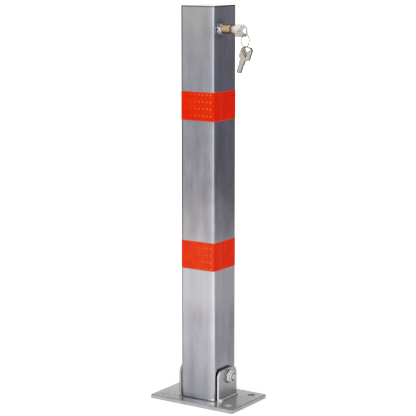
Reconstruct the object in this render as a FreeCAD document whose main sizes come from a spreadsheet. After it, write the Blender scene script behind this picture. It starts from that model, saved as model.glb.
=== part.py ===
"""Fold-down square parking post with a key-operated push lock, modelled in millimetres.

The origin is the centre of the base plate's underside. +X runs along the hinge bolt to the lock's side,
+Y is the way the post folds down, and +Z is up.
"""
import FreeCAD
import Part
import math
import os
import Sketcher

# Driving sizes: name, millimetres or degrees, what it is
SIZES = (
    ("post_width", 60.0, "outer width of the square tube"),
    ("post_wall", 2.0, "wall of the square tube"),
    ("post_corner", 4.0, "outer corner radius of the tube"),
    ("post_top", 602.0, "height of the finished post above the ground"),
    ("foot_gap", 0.5, "gap between the tube's foot and the plate"),
    ("cap_thick", 3.0, "welded top cap"),
    ("cap_edge", 0.7, "chamfer round the top cap"),
    ("band_height", 43.0, "height of a reflective band"),
    ("band_thick", 0.4, "thickness of a reflective band"),
    ("band_seam", 1.0, "butt gap of a band on the back face"),
    ("upper_band_drop", 169.2, "lower edge of the upper band below the post's top"),
    ("lower_band_low", 208.0, "lower edge of the lower band"),
    ("plate_length", 148.0, "base plate along the hinge bolt"),
    ("plate_width", 97.0, "base plate across the hinge bolt"),
    ("plate_thick", 6.0, "base plate"),
    ("plate_edge", 0.5, "chamfer round the plate's top"),
    ("anchor_bore", 12.0, "anchor hole"),
    ("anchor_pitch_along", 114.0, "anchor holes along the hinge bolt"),
    ("anchor_pitch_across", 66.0, "anchor holes across the hinge bolt"),
    ("strike_bore", 12.0, "hole in the plate that the lock rod drops into"),
    ("lug_width", 50.0, "hinge lug"),
    ("lug_thick", 3.0, "hinge lug"),
    ("lug_corner", 12.0, "top corner radius of a lug"),
    ("lug_head", 12.2, "lug above the hinge bolt's centre"),
    ("lug_gap", 2.5, "gap between the tube and the right lug"),
    ("left_lug_gap", 3.6, "gap between the tube and the left lug"),
    ("weld_leg", 4.0, "fillet weld at a lug's foot"),
    ("fold_rest_gap", 5.0, "gap between the folded tube and the plate's top"),
    ("swing_clearance", 0.5, "least gap between the swinging foot and the plate"),
    ("bolt_diameter", 10.0, "hinge bolt shank"),
    ("bolt_play", 0.3, "radial play of the bolt in the lugs and washers"),
    ("bolt_head", 6.4, "height of the hinge bolt's head"),
    ("bolt_flats", 17.0, "hinge bolt and nut across flats"),
    ("bolt_stub", 2.4, "bolt end that stands out of the nut"),
    ("bolt_edge", 1.0, "chamfer at the bolt's end"),
    ("crown_flats", 16.3, "flat crown of a hexagon, across"),
    ("crown_slope", 60.0, "turned corners of a hexagon, in degrees from its axis"),
    ("nut_hex", 5.6, "height of the nut's hexagon"),
    ("nut_collar", 2.8, "height of the nut's round collar"),
    ("collar_diameter", 14.6, "outside of the nut's round collar"),
    ("insert_wall", 1.5, "wall of the nut's nylon ring"),
    ("washer_diameter", 20.5, "washers outside the lugs"),
    ("washer_thick", 2.0, "washers outside the lugs"),
    ("spacer_diameter", 18.0, "washers between the lugs and the tube"),
    ("spacer_play", 0.5, "end play of the washers between the lugs and the tube"),
    ("sleeve_diameter", 14.0, "hinge sleeve welded through the tube"),
    ("sleeve_play", 0.05, "radial running clearance of the bolt in the sleeve"),
    ("sleeve_proud", 0.2, "sleeve end beyond the tube's face"),
    ("lock_drop", 33.7, "lock axis below the post's top"),
    ("rod_diameter", 8.0, "lock rod"),
    ("rod_sleeve_gap", 4.5, "gap between the lock rod and the hinge sleeve"),
    ("rod_tip_gap", 3.0, "gap between the raised rod and the plate's top"),
    ("rod_edge", 1.0, "chamfer at the rod's tip"),
    ("rod_travel", 8.0, "drop of the lock rod"),
    ("rod_play", 0.05, "radial running clearance of the rod in its guides"),
    ("press_travel", 14.0, "travel of the plunger when it is pressed home"),
    ("guide_thick", 3.0, "rod guide plates"),
    ("guide_depth", 18.0, "rod guide plates, front to back"),
    ("lower_guide_rise", 60.0, "lower guide above the ground"),
    ("head_diameter", 13.0, "rod head"),
    ("head_drop", 20.0, "rod head's underside below the lock axis"),
    ("head_socket", 10.0, "depth of the rod's seat in its head"),
    ("pin_diameter", 2.5, "spring pins"),
    ("pin_play", 0.02, "radial clearance of a pressed pin or nut as modelled"),
    ("spring_length", 24.0, "return spring as fitted"),
    ("spring_radius", 5.4, "mean radius of the return spring"),
    ("spring_wire", 1.2, "wire of the return spring"),
    ("spring_turns", 6.0, "turns of the return spring"),
    ("spring_play", 0.06, "play at each end of the return spring"),
    ("seat_thick", 1.0, "washer under the return spring"),
    ("seat_play", 0.2, "radial play of the spring's washer on the rod"),
    ("slope_gap", 0.3, "gap between the wedge and the rod head"),
    ("wedge_width", 8.0, "wedge on the plunger"),
    ("wedge_crest", 5.7, "wedge's top above the lock axis"),
    ("stop_gap", 0.5, "gap between the wedge and the lock's housing at rest"),
    ("flange_diameter", 17.0, "lock's flange on the tube"),
    ("flange_thick", 1.5, "lock's flange on the tube"),
    ("collar_outer", 15.0, "lock's collar"),
    ("collar_length", 4.5, "lock's collar beyond the flange"),
    ("collar_edge", 0.5, "rounding of the lock's rims"),
    ("barrel_diameter", 15.0, "threaded barrel of the lock's housing"),
    ("barrel_length", 10.0, "threaded barrel behind the tube's face"),
    ("barrel_play", 0.1, "radial play of the barrel in the tube's hole"),
    ("locknut_flats", 19.0, "nut inside the tube, across flats"),
    ("locknut_thick", 4.0, "nut inside the tube"),
    ("plunger_diameter", 13.0, "brass plunger"),
    ("plunger_play", 0.05, "radial running clearance of the plunger"),
    ("plunger_reach", 21.2, "plunger's front beyond the tube's face when popped out"),
    ("plunger_edge", 0.6, "chamfer at the plunger's front"),
    ("recess_diameter", 10.6, "recess round the key plug"),
    ("recess_depth", 4.0, "recess round the key plug"),
    ("plug_diameter", 9.0, "key plug"),
    ("plug_length", 17.5, "plug's bearing in the plunger"),
    ("plug_play", 0.05, "radial running clearance of the plug"),
    ("plug_sink", 1.8, "plug's face behind the plunger's front"),
    ("plug_tail", 3.0, "plug behind its bearing"),
    ("clip_thick", 0.8, "clip behind the plug"),
    ("clip_gap", 0.2, "end play of the clip"),
    ("clip_wall", 1.1, "depth of the clip's groove"),
    ("stem_diameter", 11.0, "wedge stem in the plunger"),
    ("stem_length", 6.0, "wedge stem in the plunger"),
    ("wedge_pin_diameter", 1.5, "pin through the plunger and the wedge stem"),
    ("wedge_pin_sink", 0.25, "pin's ends below the plunger's surface"),
    ("key_thick", 2.4, "sheet of a key"),
    ("blade_width", 7.5, "key blade"),
    ("blade_length", 14.7, "key blade"),
    ("blade_cut", 1.1, "depth of the cuts in a key blade"),
    ("neck_width", 9.2, "key neck"),
    ("neck_length", 6.3, "key neck"),
    ("bow_width", 18.6, "key bow"),
    ("bow_length", 21.1, "key bow"),
    ("bow_drop", 1.4, "bow's middle below the blade's"),
    ("bow_corner", 3.0, "corners of a bow near the neck"),
    ("bow_far_corner", 5.5, "corners of a bow at its far end"),
    ("bow_border", 1.9, "bow beyond its hole"),
    ("hole_half", 6.0, "half the height of the hole in a bow"),
    ("hole_depth", 7.2, "the hole along the key"),
    ("hole_drop", 2.0, "middle of the hole below the blade's middle"),
    ("groove_width", 1.4, "grip grooves of a bow"),
    ("groove_pitch", 3.3, "spacing of a bow's grip grooves"),
    ("groove_inset", 4.7, "start of the grip grooves beyond the start of the bow"),
    ("groove_run", 7.6, "length of the grip grooves along the key"),
    ("groove_fall", 3.7, "lower end of the grip grooves below the blade's middle"),
    ("groove_rise", 6.0, "upper end of the grip grooves above the blade's middle"),
    ("groove_depth", 0.45, "grip grooves of a bow"),
    ("keyway_play", 0.15, "play of a blade in the keyway, each side"),
    ("key_seat", 0.3, "gap between the key's neck and the plug"),
    ("ring_wire", 1.2, "wire of the key ring"),
    ("ring_radius", 9.7, "mean radius of the key ring"),
    ("ring_gap", 6.0, "opening of the key ring in degrees"),
    ("ring_turn", 87.0, "key ring's plane from the hinge bolt's direction, in degrees"),
    ("ring_play", 0.3, "play of the ring in a bow's hole"),
    ("spare_lean", 19.0, "lean of the hanging spare key in degrees"),
    ("spare_twist", 5.0, "spare key's plane from the hinge bolt's direction, in degrees"),
)

# Places and sizes that follow from the driving sizes
HALF_POST = "(Sizes.post_width / 2)"
INNER_HALF = "(Sizes.post_width / 2 - Sizes.post_wall)"
PLATE_TOP = "Sizes.plate_thick"
PIVOT_RISE = "(Sizes.post_width / 2 + Sizes.fold_rest_gap)"
PIVOT = "(Sizes.plate_thick + Sizes.post_width / 2 + Sizes.fold_rest_gap)"
LUG_IN = "(Sizes.post_width / 2 + Sizes.lug_gap)"
LUG_OUT = "(Sizes.post_width / 2 + Sizes.lug_gap + Sizes.lug_thick)"
WASHER_OUT = "(Sizes.post_width / 2 + Sizes.lug_gap + Sizes.lug_thick + Sizes.washer_thick)"
LEFT_IN = "(Sizes.post_width / 2 + Sizes.left_lug_gap)"
LEFT_OUT = "(Sizes.post_width / 2 + Sizes.left_lug_gap + Sizes.lug_thick)"
HEAD_SEAT = "(Sizes.post_width / 2 + Sizes.left_lug_gap + Sizes.lug_thick + Sizes.washer_thick)"
FOOT = "(Sizes.plate_thick + Sizes.foot_gap)"
TUBE_TOP = "(Sizes.post_top - Sizes.cap_thick)"
ROD_SIDE = "-(Sizes.sleeve_diameter / 2 + Sizes.rod_diameter / 2 + Sizes.rod_sleeve_gap)"
ROD_TIP = "(Sizes.plate_thick + Sizes.rod_tip_gap)"
LOCK_AXIS = "(Sizes.post_top - Sizes.lock_drop)"
HEAD_LOW = "(Sizes.post_top - Sizes.lock_drop - Sizes.head_drop)"
SPRING_LOW = "(Sizes.post_top - Sizes.lock_drop - Sizes.head_drop - Sizes.spring_length)"
GUIDE_TOP = "(%s - Sizes.seat_thick)" % SPRING_LOW
PLUNGER_FRONT = "(Sizes.post_width / 2 + Sizes.plunger_reach)"
BARREL_END = "(Sizes.post_width / 2 - Sizes.barrel_length)"
WEDGE_ROOT = "(Sizes.post_width / 2 - Sizes.barrel_length - Sizes.stop_gap)"
SLOPE = "(Sizes.rod_travel / Sizes.press_travel)"
PLUG_FACE = "(Sizes.post_width / 2 + Sizes.plunger_reach - Sizes.plug_sink)"
PLUG_REAR = "(Sizes.post_width / 2 + Sizes.plunger_reach - Sizes.recess_depth - Sizes.plug_length)"
NECK_START = "(Sizes.post_width / 2 + Sizes.plunger_reach - Sizes.plug_sink + Sizes.key_seat)"
HOLE_CORNER = "atan(Sizes.hole_depth / Sizes.hole_half)"
RING_STEP = "((Sizes.ring_wire / 2 + Sizes.ring_play) / tan(%s / 2))" % HOLE_CORNER
WIRE_IN = "(Sizes.bow_border + Sizes.ring_wire / 2 + Sizes.ring_play)"
KEY_LENGTH = "(Sizes.neck_length + Sizes.bow_length)"
HOLE_FAR = "(Sizes.neck_length + Sizes.bow_length - Sizes.bow_border)"

X_AXIS = FreeCAD.Vector(1, 0, 0)
Y_AXIS = FreeCAD.Vector(0, 1, 0)
Z_AXIS = FreeCAD.Vector(0, 0, 1)
THROUGH = 1

DOC = FreeCAD.newDocument("parking_post")
SHEET = DOC.addObject("Spreadsheet::Sheet", "Sizes")


def fill_sheet():
    for row, (alias, size, note) in enumerate(SIZES, start=1):
        SHEET.set("A%d" % row, note)
        SHEET.set("B%d" % row, str(size))
        SHEET.setAlias("B%d" % row, alias)
    DOC.recompute()


def value(expression):
    """The number that an expression over the sheet comes to."""
    result = SHEET.evalExpression(expression)
    return float(getattr(result, "Value", result))


def bind(feature, **expressions):
    """Ties properties to expressions; a double underscore stands for a dot."""
    for name, expression in expressions.items():
        feature.setExpression(name.replace("__", "."), expression)


def place(feature, along="0", across="0", up="0"):
    bind(feature, Placement__Base__x=along, Placement__Base__y=across, Placement__Base__z=up)


def turn(feature, axis, degrees):
    feature.Placement = FreeCAD.Placement(feature.Placement.Base, FreeCAD.Rotation(axis, degrees))


# Sketches

def new_sketch(body, name, role, offset="0"):
    """A sketch on one of the body's origin planes, moved along its normal by the offset."""
    sketch = body.newObject("Sketcher::SketchObject", name)
    plane = next(item for item in body.Origin.OriginFeatures if item.Role == role)
    sketch.AttachmentSupport = [(plane, "")]
    sketch.MapMode = "FlatFace"
    bind(sketch, AttachmentOffset__Base__z=offset)
    return sketch


def pin_point(sketch, geometry, vertex, across, up):
    """Ties a sketch point's coordinates to two expressions."""
    for kind, expression in (("DistanceX", across), ("DistanceY", up)):
        rule = Sketcher.Constraint(kind, -1, 1, geometry, vertex, value(expression))
        index = sketch.addConstraint(rule)
        sketch.setExpression("Constraints[%d]" % index, expression)


def draw_polygon(sketch, corners):
    """A closed outline whose corners are pairs of expressions."""
    points = [FreeCAD.Vector(value(across), value(up), 0) for across, up in corners]
    first = sketch.GeometryCount
    for index, point in enumerate(points):
        sketch.addGeometry(Part.LineSegment(point, points[(index + 1) % len(points)]))
    for index in range(len(points)):
        following = (index + 1) % len(points)
        sketch.addConstraint(Sketcher.Constraint("Coincident", first + index, 2, first + following, 1))
    for index, (across, up) in enumerate(corners):
        pin_point(sketch, first + index, 1, across, up)


def draw_rectangle(sketch, left, right, low, high):
    draw_polygon(sketch, ((left, low), (right, low), (right, high), (left, high)))


def draw_rounded_square(sketch, half, radius):
    """A square about the sketch's origin with an arc at each corner."""
    reach = value(half)
    bend = value(radius)
    inset = reach - bend
    first = sketch.GeometryCount
    signs = (("", ""), ("-", ""), ("-", "-"), ("", "-"))
    for quarter in range(4):
        spin = FreeCAD.Rotation(Z_AXIS, 90 * quarter)
        start = spin.multVec(FreeCAD.Vector(reach, -inset, 0))
        end = spin.multVec(FreeCAD.Vector(reach, inset, 0))
        centre = spin.multVec(FreeCAD.Vector(inset, inset, 0))
        sketch.addGeometry(Part.LineSegment(start, end))
        corner = Part.Circle(centre, Z_AXIS, bend)
        angle = math.pi / 2 * quarter
        sketch.addGeometry(Part.ArcOfCircle(corner, angle, angle + math.pi / 2))
    for quarter, (across_sign, up_sign) in enumerate(signs):
        line = first + 2 * quarter
        arc = line + 1
        following = first + (2 * quarter + 2) % 8
        sketch.addConstraint(Sketcher.Constraint("Tangent", line, 2, arc, 1))
        sketch.addConstraint(Sketcher.Constraint("Tangent", arc, 2, following, 1))
        centre_place = "(%s - (%s))" % (half, radius)
        pin_point(sketch, arc, 3, across_sign + centre_place, up_sign + centre_place)
        index = sketch.addConstraint(Sketcher.Constraint("Radius", arc, bend))
        sketch.setExpression("Constraints[%d]" % index, radius)


def draw_circle(sketch, across, up, radius):
    centre = FreeCAD.Vector(value(across), value(up), 0)
    geometry = sketch.addGeometry(Part.Circle(centre, Z_AXIS, value(radius)))
    pin_point(sketch, geometry, 3, across, up)
    index = sketch.addConstraint(Sketcher.Constraint("Radius", geometry, value(radius)))
    sketch.setExpression("Constraints[%d]" % index, radius)


# Features of a body

def new_body(name):
    return DOC.addObject("PartDesign::Body", name)


def pad(body, name, sketch, length, symmetric=False):
    feature = body.newObject("PartDesign::Pad", name)
    feature.Profile = sketch
    if symmetric:
        feature.SideType = "Symmetric"
    bind(feature, Length=length)
    DOC.recompute()
    return feature


def pocket(body, name, sketch, reversed_cut=False, symmetric=False, depth=None):
    """Cuts a sketch out of the body, through all of it unless a depth is given."""
    before = body.Shape.Volume
    feature = body.newObject("PartDesign::Pocket", name)
    feature.Profile = sketch
    feature.Reversed = reversed_cut
    if symmetric:
        feature.SideType = "Symmetric"
    if depth is None:
        feature.Type = THROUGH
    else:
        bind(feature, Length=depth)
    DOC.recompute()
    if body.Shape.Volume >= before:
        raise ValueError("%s cuts nothing" % name)
    return feature


def revolve(body, name, sketch, axis="H_Axis"):
    feature = body.newObject("PartDesign::Revolution", name)
    feature.Profile = sketch
    feature.ReferenceAxis = (sketch, [axis])
    feature.Angle = 360
    DOC.recompute()
    return feature


def edges_where(shape, test):
    return ["Edge%d" % index for index, edge in enumerate(shape.Edges, start=1) if test(edge)]


def is_straight(edge, axis):
    if not isinstance(edge.Curve, (Part.Line, Part.LineSegment)):
        return False
    direction = edge.tangentAt(edge.FirstParameter)
    return abs(direction.dot(axis)) > 0.999


def fillet(body, name, test, radius):
    base = body.Tip
    feature = body.newObject("PartDesign::Fillet", name)
    feature.Base = (base, edges_where(base.Shape, test))
    bind(feature, Radius=radius)
    DOC.recompute()
    return feature


def chamfer(body, name, test, size):
    base = body.Tip
    feature = body.newObject("PartDesign::Chamfer", name)
    feature.Base = (base, edges_where(base.Shape, test))
    bind(feature, Size=size)
    DOC.recompute()
    return feature


# Turned pieces and fasteners

def cylinder(name, radius, length):
    feature = DOC.addObject("Part::Cylinder", name)
    bind(feature, Radius=radius, Height=length)
    return feature


def cut(name, base, tool):
    feature = DOC.addObject("Part::Cut", name)
    feature.Base = base
    feature.Tool = tool
    return feature


def fuse(name, pieces):
    feature = DOC.addObject("Part::MultiFuse", name)
    feature.Shapes = pieces
    return feature


def washer(name, outer, inner, thick):
    """A flat ring about its own Z axis, standing on its origin."""
    return cut(name, cylinder(name + "_disc", outer, thick), cylinder(name + "_bore", inner, thick))


def hexagon(name, flats, height):
    """A hexagon whose outer end, at its origin, has turned-off corners."""
    prism = DOC.addObject("Part::Prism", name + "_prism")
    prism.Polygon = 6
    bind(prism, Circumradius=flats + " / sqrt(3)", Height=height)
    cone = DOC.addObject("Part::Cone", name + "_cone")
    bind(cone, Radius1="Sizes.crown_flats / 2", Height=height,
         Radius2="Sizes.crown_flats / 2 + tan(Sizes.crown_slope) * " + height)
    feature = DOC.addObject("Part::Common", name)
    feature.Base = prism
    feature.Tool = cone
    return feature


# Base

def base_plate():
    body = new_body("base_plate")
    outline = new_sketch(body, "plate_outline", "XY_Plane")
    half_length = "Sizes.plate_length / 2"
    half_width = "Sizes.plate_width / 2"
    draw_rectangle(outline, "-" + half_length, half_length, "-" + half_width, half_width)
    pad(body, "plate_pad", outline, "Sizes.plate_thick")
    top = value(PLATE_TOP)
    chamfer(body, "plate_chamfer", lambda edge: abs(edge.CenterOfMass.z - top) < 0.01, "Sizes.plate_edge")
    holes = new_sketch(body, "plate_holes", "XY_Plane")
    for along in ("-", ""):
        for across in ("-", ""):
            draw_circle(holes, along + "Sizes.anchor_pitch_along / 2",
                        across + "Sizes.anchor_pitch_across / 2", "Sizes.anchor_bore / 2")
    draw_circle(holes, "0", ROD_SIDE, "Sizes.strike_bore / 2")
    pocket(body, "plate_bores", holes, reversed_cut=True)
    return body


def hinge_lug(name, start):
    """A flat ear that stands on the plate; start is its face nearest -X."""
    body = new_body(name)
    outline = new_sketch(body, name + "_outline", "YZ_Plane", start)
    top = PIVOT + " + Sizes.lug_head"
    draw_rectangle(outline, "-Sizes.lug_width / 2", "Sizes.lug_width / 2", PLATE_TOP, top)
    pad(body, name + "_pad", outline, "Sizes.lug_thick")
    fillet(body, name + "_corners",
           lambda edge: is_straight(edge, X_AXIS) and edge.CenterOfMass.z > value(PIVOT),
           "Sizes.lug_corner")
    bore = new_sketch(body, name + "_bore", "YZ_Plane", start)
    draw_circle(bore, "0", PIVOT, "Sizes.bolt_diameter / 2 + Sizes.bolt_play")
    pocket(body, name + "_hole", bore, reversed_cut=True)
    return body


def lug_weld(name, side, face):
    """A round bead along a lug's outer face, with domed ends; side is -1 or 1."""
    bead = cylinder(name + "_bead", "Sizes.weld_leg", "Sizes.lug_width - 2 * Sizes.weld_leg")
    turn(bead, X_AXIS, -90)
    ends = []
    for end, sign in (("front", "-"), ("back", "")):
        ball = DOC.addObject("Part::Sphere", name + "_" + end)
        bind(ball, Radius="Sizes.weld_leg")
        place(ball, across=sign + "(Sizes.lug_width / 2 - Sizes.weld_leg)")
        ends.append(ball)
    place(bead, across="-(Sizes.lug_width / 2 - Sizes.weld_leg)")
    quarter = DOC.addObject("Part::Box", name + "_quarter")
    bind(quarter, Length="Sizes.weld_leg", Width="Sizes.lug_width", Height="Sizes.weld_leg")
    place(quarter, along="0" if side > 0 else "-Sizes.weld_leg", across="-Sizes.lug_width / 2")
    feature = DOC.addObject("Part::Common", name)
    feature.Base = fuse(name + "_round", [bead] + ends)
    feature.Tool = quarter
    place(feature, along="%d * %s" % (side, face), up=PLATE_TOP)
    return feature


def hinge_bolt():
    """Hexagon bolt along +X, its head outside the left lug."""
    head = hexagon("bolt_hexagon", "Sizes.bolt_flats", "Sizes.bolt_head")
    length = "%s + %s + Sizes.nut_hex + Sizes.nut_collar + Sizes.bolt_stub" % (HEAD_SEAT, WASHER_OUT)
    shank = cylinder("bolt_shank", "Sizes.bolt_diameter / 2", length + " - Sizes.bolt_edge")
    place(shank, up="Sizes.bolt_head")
    end = DOC.addObject("Part::Cone", "bolt_end")
    bind(end, Radius1="Sizes.bolt_diameter / 2", Height="Sizes.bolt_edge",
         Radius2="Sizes.bolt_diameter / 2 - Sizes.bolt_edge")
    place(end, up="Sizes.bolt_head + " + length + " - Sizes.bolt_edge")
    bolt = fuse("hinge_bolt", [head, shank, end])
    turn(bolt, Y_AXIS, 90)
    place(bolt, along="-(%s + Sizes.bolt_head)" % HEAD_SEAT, up=PIVOT)
    return bolt


def hinge_washers(name, outer, faces):
    """A washer on the bolt at each side; faces are each one's thickness and its face nearest -X."""
    bore = "Sizes.bolt_diameter / 2 + Sizes.bolt_play"
    pair = []
    for side, (thick, start) in zip(("left", "right"), faces):
        piece = washer(side + "_" + name, outer, bore, thick)
        turn(piece, Y_AXIS, 90)
        place(piece, along=start, up=PIVOT)
        pair.append(piece)
    feature = DOC.addObject("Part::Compound", name)
    feature.Links = pair
    return feature


def hinge_nut():
    """Lock nut with a round collar that holds its nylon ring, outside the right lug."""
    collar = cylinder("nut_collar", "Sizes.collar_diameter / 2", "Sizes.nut_collar")
    body = hexagon("nut_hexagon", "Sizes.bolt_flats", "Sizes.nut_hex")
    place(body, up="Sizes.nut_collar")
    bore = cylinder("nut_bore", "Sizes.bolt_diameter / 2 + Sizes.pin_play",
                    "Sizes.nut_hex + Sizes.nut_collar")
    seat = cylinder("nut_seat", "Sizes.bolt_diameter / 2 + Sizes.insert_wall",
                    "Sizes.nut_collar")
    nut = cut("hinge_nut", fuse("nut_blank", [collar, body]), fuse("nut_hollow", [bore, seat]))
    turn(nut, Y_AXIS, -90)
    place(nut, along=WASHER_OUT + " + Sizes.nut_hex + Sizes.nut_collar", up=PIVOT)
    return nut


def nut_insert():
    outer = "Sizes.bolt_diameter / 2 + Sizes.insert_wall - Sizes.pin_play"
    inner = "Sizes.bolt_diameter / 2 + Sizes.pin_play"
    ring = washer("nut_insert", outer, inner, "Sizes.nut_collar")
    turn(ring, Y_AXIS, 90)
    place(ring, along=WASHER_OUT + " + Sizes.nut_hex", up=PIVOT)
    return ring


# Post

def square_tube(body, name, half, corner, wall, low, height):
    """A square tube about Z, or a square bar where the wall is None."""
    section = new_sketch(body, name + "_section", "XY_Plane", low)
    draw_rounded_square(section, half, corner)
    if wall is not None:
        draw_rounded_square(section, "(%s - %s)" % (half, wall), "(%s - %s)" % (corner, wall))
    pad(body, name + "_pad", section, height)


def foot_relief(body):
    """Rounds off the back of the tube's foot so that it swings clear of the plate."""
    sketch = new_sketch(body, "foot_relief", "YZ_Plane")
    radius = "(" + PIVOT_RISE + " - Sizes.swing_clearance)"
    outside = "(%s + (Sizes.fold_rest_gap - Sizes.swing_clearance) / 2)" % HALF_POST
    centre = FreeCAD.Vector(0, value(PIVOT), 0)
    swing = value(radius)
    reach = value(outside)
    end_angle = -math.acos(reach / swing)
    high = value(PIVOT) + swing * math.sin(end_angle)
    low = 0.0
    arc = Part.ArcOfCircle(Part.Circle(centre, Z_AXIS, swing), -math.pi / 2, end_angle)
    arc_index = sketch.addGeometry(arc)
    corners = ((reach, high), (reach, low), (0.0, low), (0.0, value(PIVOT) - swing))
    for start, end in zip(corners, corners[1:]):
        sketch.addGeometry(Part.LineSegment(FreeCAD.Vector(*start, 0), FreeCAD.Vector(*end, 0)))
    down, under, back_up = arc_index + 1, arc_index + 2, arc_index + 3
    pin_point(sketch, arc_index, 3, "0", PIVOT)
    pin_point(sketch, down, 2, outside, "0")
    pin_point(sketch, under, 2, "0", "0")
    rules = (
        Sketcher.Constraint("Coincident", arc_index, 2, down, 1),
        Sketcher.Constraint("Coincident", down, 2, under, 1),
        Sketcher.Constraint("Coincident", under, 2, back_up, 1),
        Sketcher.Constraint("Coincident", back_up, 2, arc_index, 1),
        Sketcher.Constraint("Vertical", down),
        Sketcher.Constraint("Vertical", back_up),
    )
    for rule in rules:
        sketch.addConstraint(rule)
    index = sketch.addConstraint(Sketcher.Constraint("Radius", arc_index, swing))
    sketch.setExpression("Constraints[%d]" % index, radius)
    pocket(body, "foot_relief_cut", sketch, symmetric=True)


def post_tube():
    body = new_body("post_tube")
    square_tube(body, "tube", HALF_POST, "Sizes.post_corner", "Sizes.post_wall",
                FOOT, "%s - %s" % (TUBE_TOP, FOOT))
    foot_relief(body)
    sleeve_holes = new_sketch(body, "sleeve_holes", "YZ_Plane")
    draw_circle(sleeve_holes, "0", PIVOT, "Sizes.sleeve_diameter / 2")
    pocket(body, "sleeve_bores", sleeve_holes, symmetric=True)
    lock_hole = new_sketch(body, "lock_hole", "YZ_Plane")
    draw_circle(lock_hole, ROD_SIDE, LOCK_AXIS, "Sizes.barrel_diameter / 2 + Sizes.barrel_play")
    pocket(body, "lock_bore", lock_hole, reversed_cut=True)
    return body


def top_cap():
    body = new_body("top_cap")
    square_tube(body, "cap", HALF_POST, "Sizes.post_corner", None, TUBE_TOP, "Sizes.cap_thick")
    top = value("Sizes.post_top")
    chamfer(body, "cap_chamfer", lambda edge: edge.BoundBox.ZMin > top - 0.01, "Sizes.cap_edge")
    return body


def reflective_band(name, low):
    """A strip of tape round the tube, its ends butted on the back face."""
    body = new_body(name)
    outer = "(%s + Sizes.band_thick)" % HALF_POST
    corner = "(Sizes.post_corner + Sizes.band_thick)"
    square_tube(body, name, outer, corner, "Sizes.band_thick", low, "Sizes.band_height")
    seam = new_sketch(body, name + "_seam", "XY_Plane", low)
    draw_rectangle(seam, "-Sizes.band_seam / 2", "Sizes.band_seam / 2", "0", "Sizes.post_width")
    pocket(body, name + "_seam_cut", seam, reversed_cut=True)
    return body


def hinge_sleeve():
    inner = "Sizes.bolt_diameter / 2 + Sizes.sleeve_play"
    sleeve = washer("hinge_sleeve", "Sizes.sleeve_diameter / 2", inner,
                    "Sizes.post_width + 2 * Sizes.sleeve_proud")
    turn(sleeve, Y_AXIS, 90)
    place(sleeve, along="-(%s + Sizes.sleeve_proud)" % HALF_POST, up=PIVOT)
    return sleeve


def rod_guide(name, low):
    """A plate between the tube's side walls with a running hole for the lock rod."""
    body = new_body(name)
    outline = new_sketch(body, name + "_outline", "XY_Plane", low)
    front = ROD_SIDE + " - Sizes.guide_depth / 2"
    back = ROD_SIDE + " + Sizes.guide_depth / 2"
    draw_rectangle(outline, "-" + INNER_HALF, INNER_HALF, front, back)
    pad(body, name + "_pad", outline, "Sizes.guide_thick")
    bore = new_sketch(body, name + "_bore", "XY_Plane", low)
    draw_circle(bore, "0", ROD_SIDE, "Sizes.rod_diameter / 2 + Sizes.rod_play")
    pocket(body, name + "_hole", bore, reversed_cut=True)
    return body


# Lock rod

def lock_rod():
    """The rod that drops into the plate, with a cross hole for its head's pin."""
    radius = "Sizes.rod_diameter / 2"
    top = "(%s + Sizes.head_socket)" % HEAD_LOW
    shaft = cylinder("rod_shaft", radius, "%s - %s - Sizes.rod_edge" % (top, ROD_TIP))
    place(shaft, up="Sizes.rod_edge")
    tip = DOC.addObject("Part::Cone", "rod_tip")
    bind(tip, Radius1=radius + " - Sizes.rod_edge", Radius2=radius, Height="Sizes.rod_edge")
    rise = "%s + Sizes.head_socket / 2 - %s" % (HEAD_LOW, ROD_TIP)
    rod = cut("lock_rod", fuse("rod_blank", [tip, shaft]), cross_bore("rod_cross_bore", rise))
    place(rod, across=ROD_SIDE, up=ROD_TIP)
    return rod


def cross_bore(name, rise):
    """A hole for a spring pin, front to back through the rod's axis."""
    hole = cylinder(name, "Sizes.pin_diameter / 2 + Sizes.pin_play", "2 * Sizes.head_diameter")
    turn(hole, X_AXIS, -90)
    place(hole, across="-Sizes.head_diameter", up=rise)
    return hole


def rod_head():
    """The head on the rod; its top slopes to match the wedge that presses it down."""
    body = new_body("rod_head")
    radius = "Sizes.head_diameter / 2"
    blank = new_sketch(body, "head_blank", "XY_Plane")
    draw_circle(blank, "0", "0", radius)
    pad(body, "head_pad", blank, "2 * Sizes.head_drop")
    slope = new_sketch(body, "head_slope", "XZ_Plane")
    left = "(Sizes.head_drop - Sizes.slope_gap + %s * Sizes.head_diameter)" % SLOPE
    right = "(Sizes.head_drop - Sizes.slope_gap - %s * Sizes.head_diameter)" % SLOPE
    above = "3 * Sizes.head_drop"
    draw_polygon(slope, (("-Sizes.head_diameter", left), ("Sizes.head_diameter", right),
                         ("Sizes.head_diameter", above), ("-Sizes.head_diameter", above)))
    pocket(body, "head_slope_cut", slope, symmetric=True)
    socket = new_sketch(body, "head_socket", "XY_Plane")
    draw_circle(socket, "0", "0", "Sizes.rod_diameter / 2 + Sizes.pin_play")
    pocket(body, "head_socket_bore", socket, reversed_cut=True, depth="Sizes.head_socket")
    cross = new_sketch(body, "head_cross", "XZ_Plane")
    draw_circle(cross, "0", "Sizes.head_socket / 2", "Sizes.pin_diameter / 2 + Sizes.pin_play")
    pocket(body, "head_cross_bore", cross, symmetric=True)
    place(body, across=ROD_SIDE, up=HEAD_LOW)
    return body


def head_pin():
    pin = cylinder("head_pin", "Sizes.pin_diameter / 2", "Sizes.head_diameter")
    turn(pin, X_AXIS, -90)
    place(pin, across=ROD_SIDE + " - Sizes.head_diameter / 2", up=HEAD_LOW + " + Sizes.head_socket / 2")
    return pin


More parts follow.
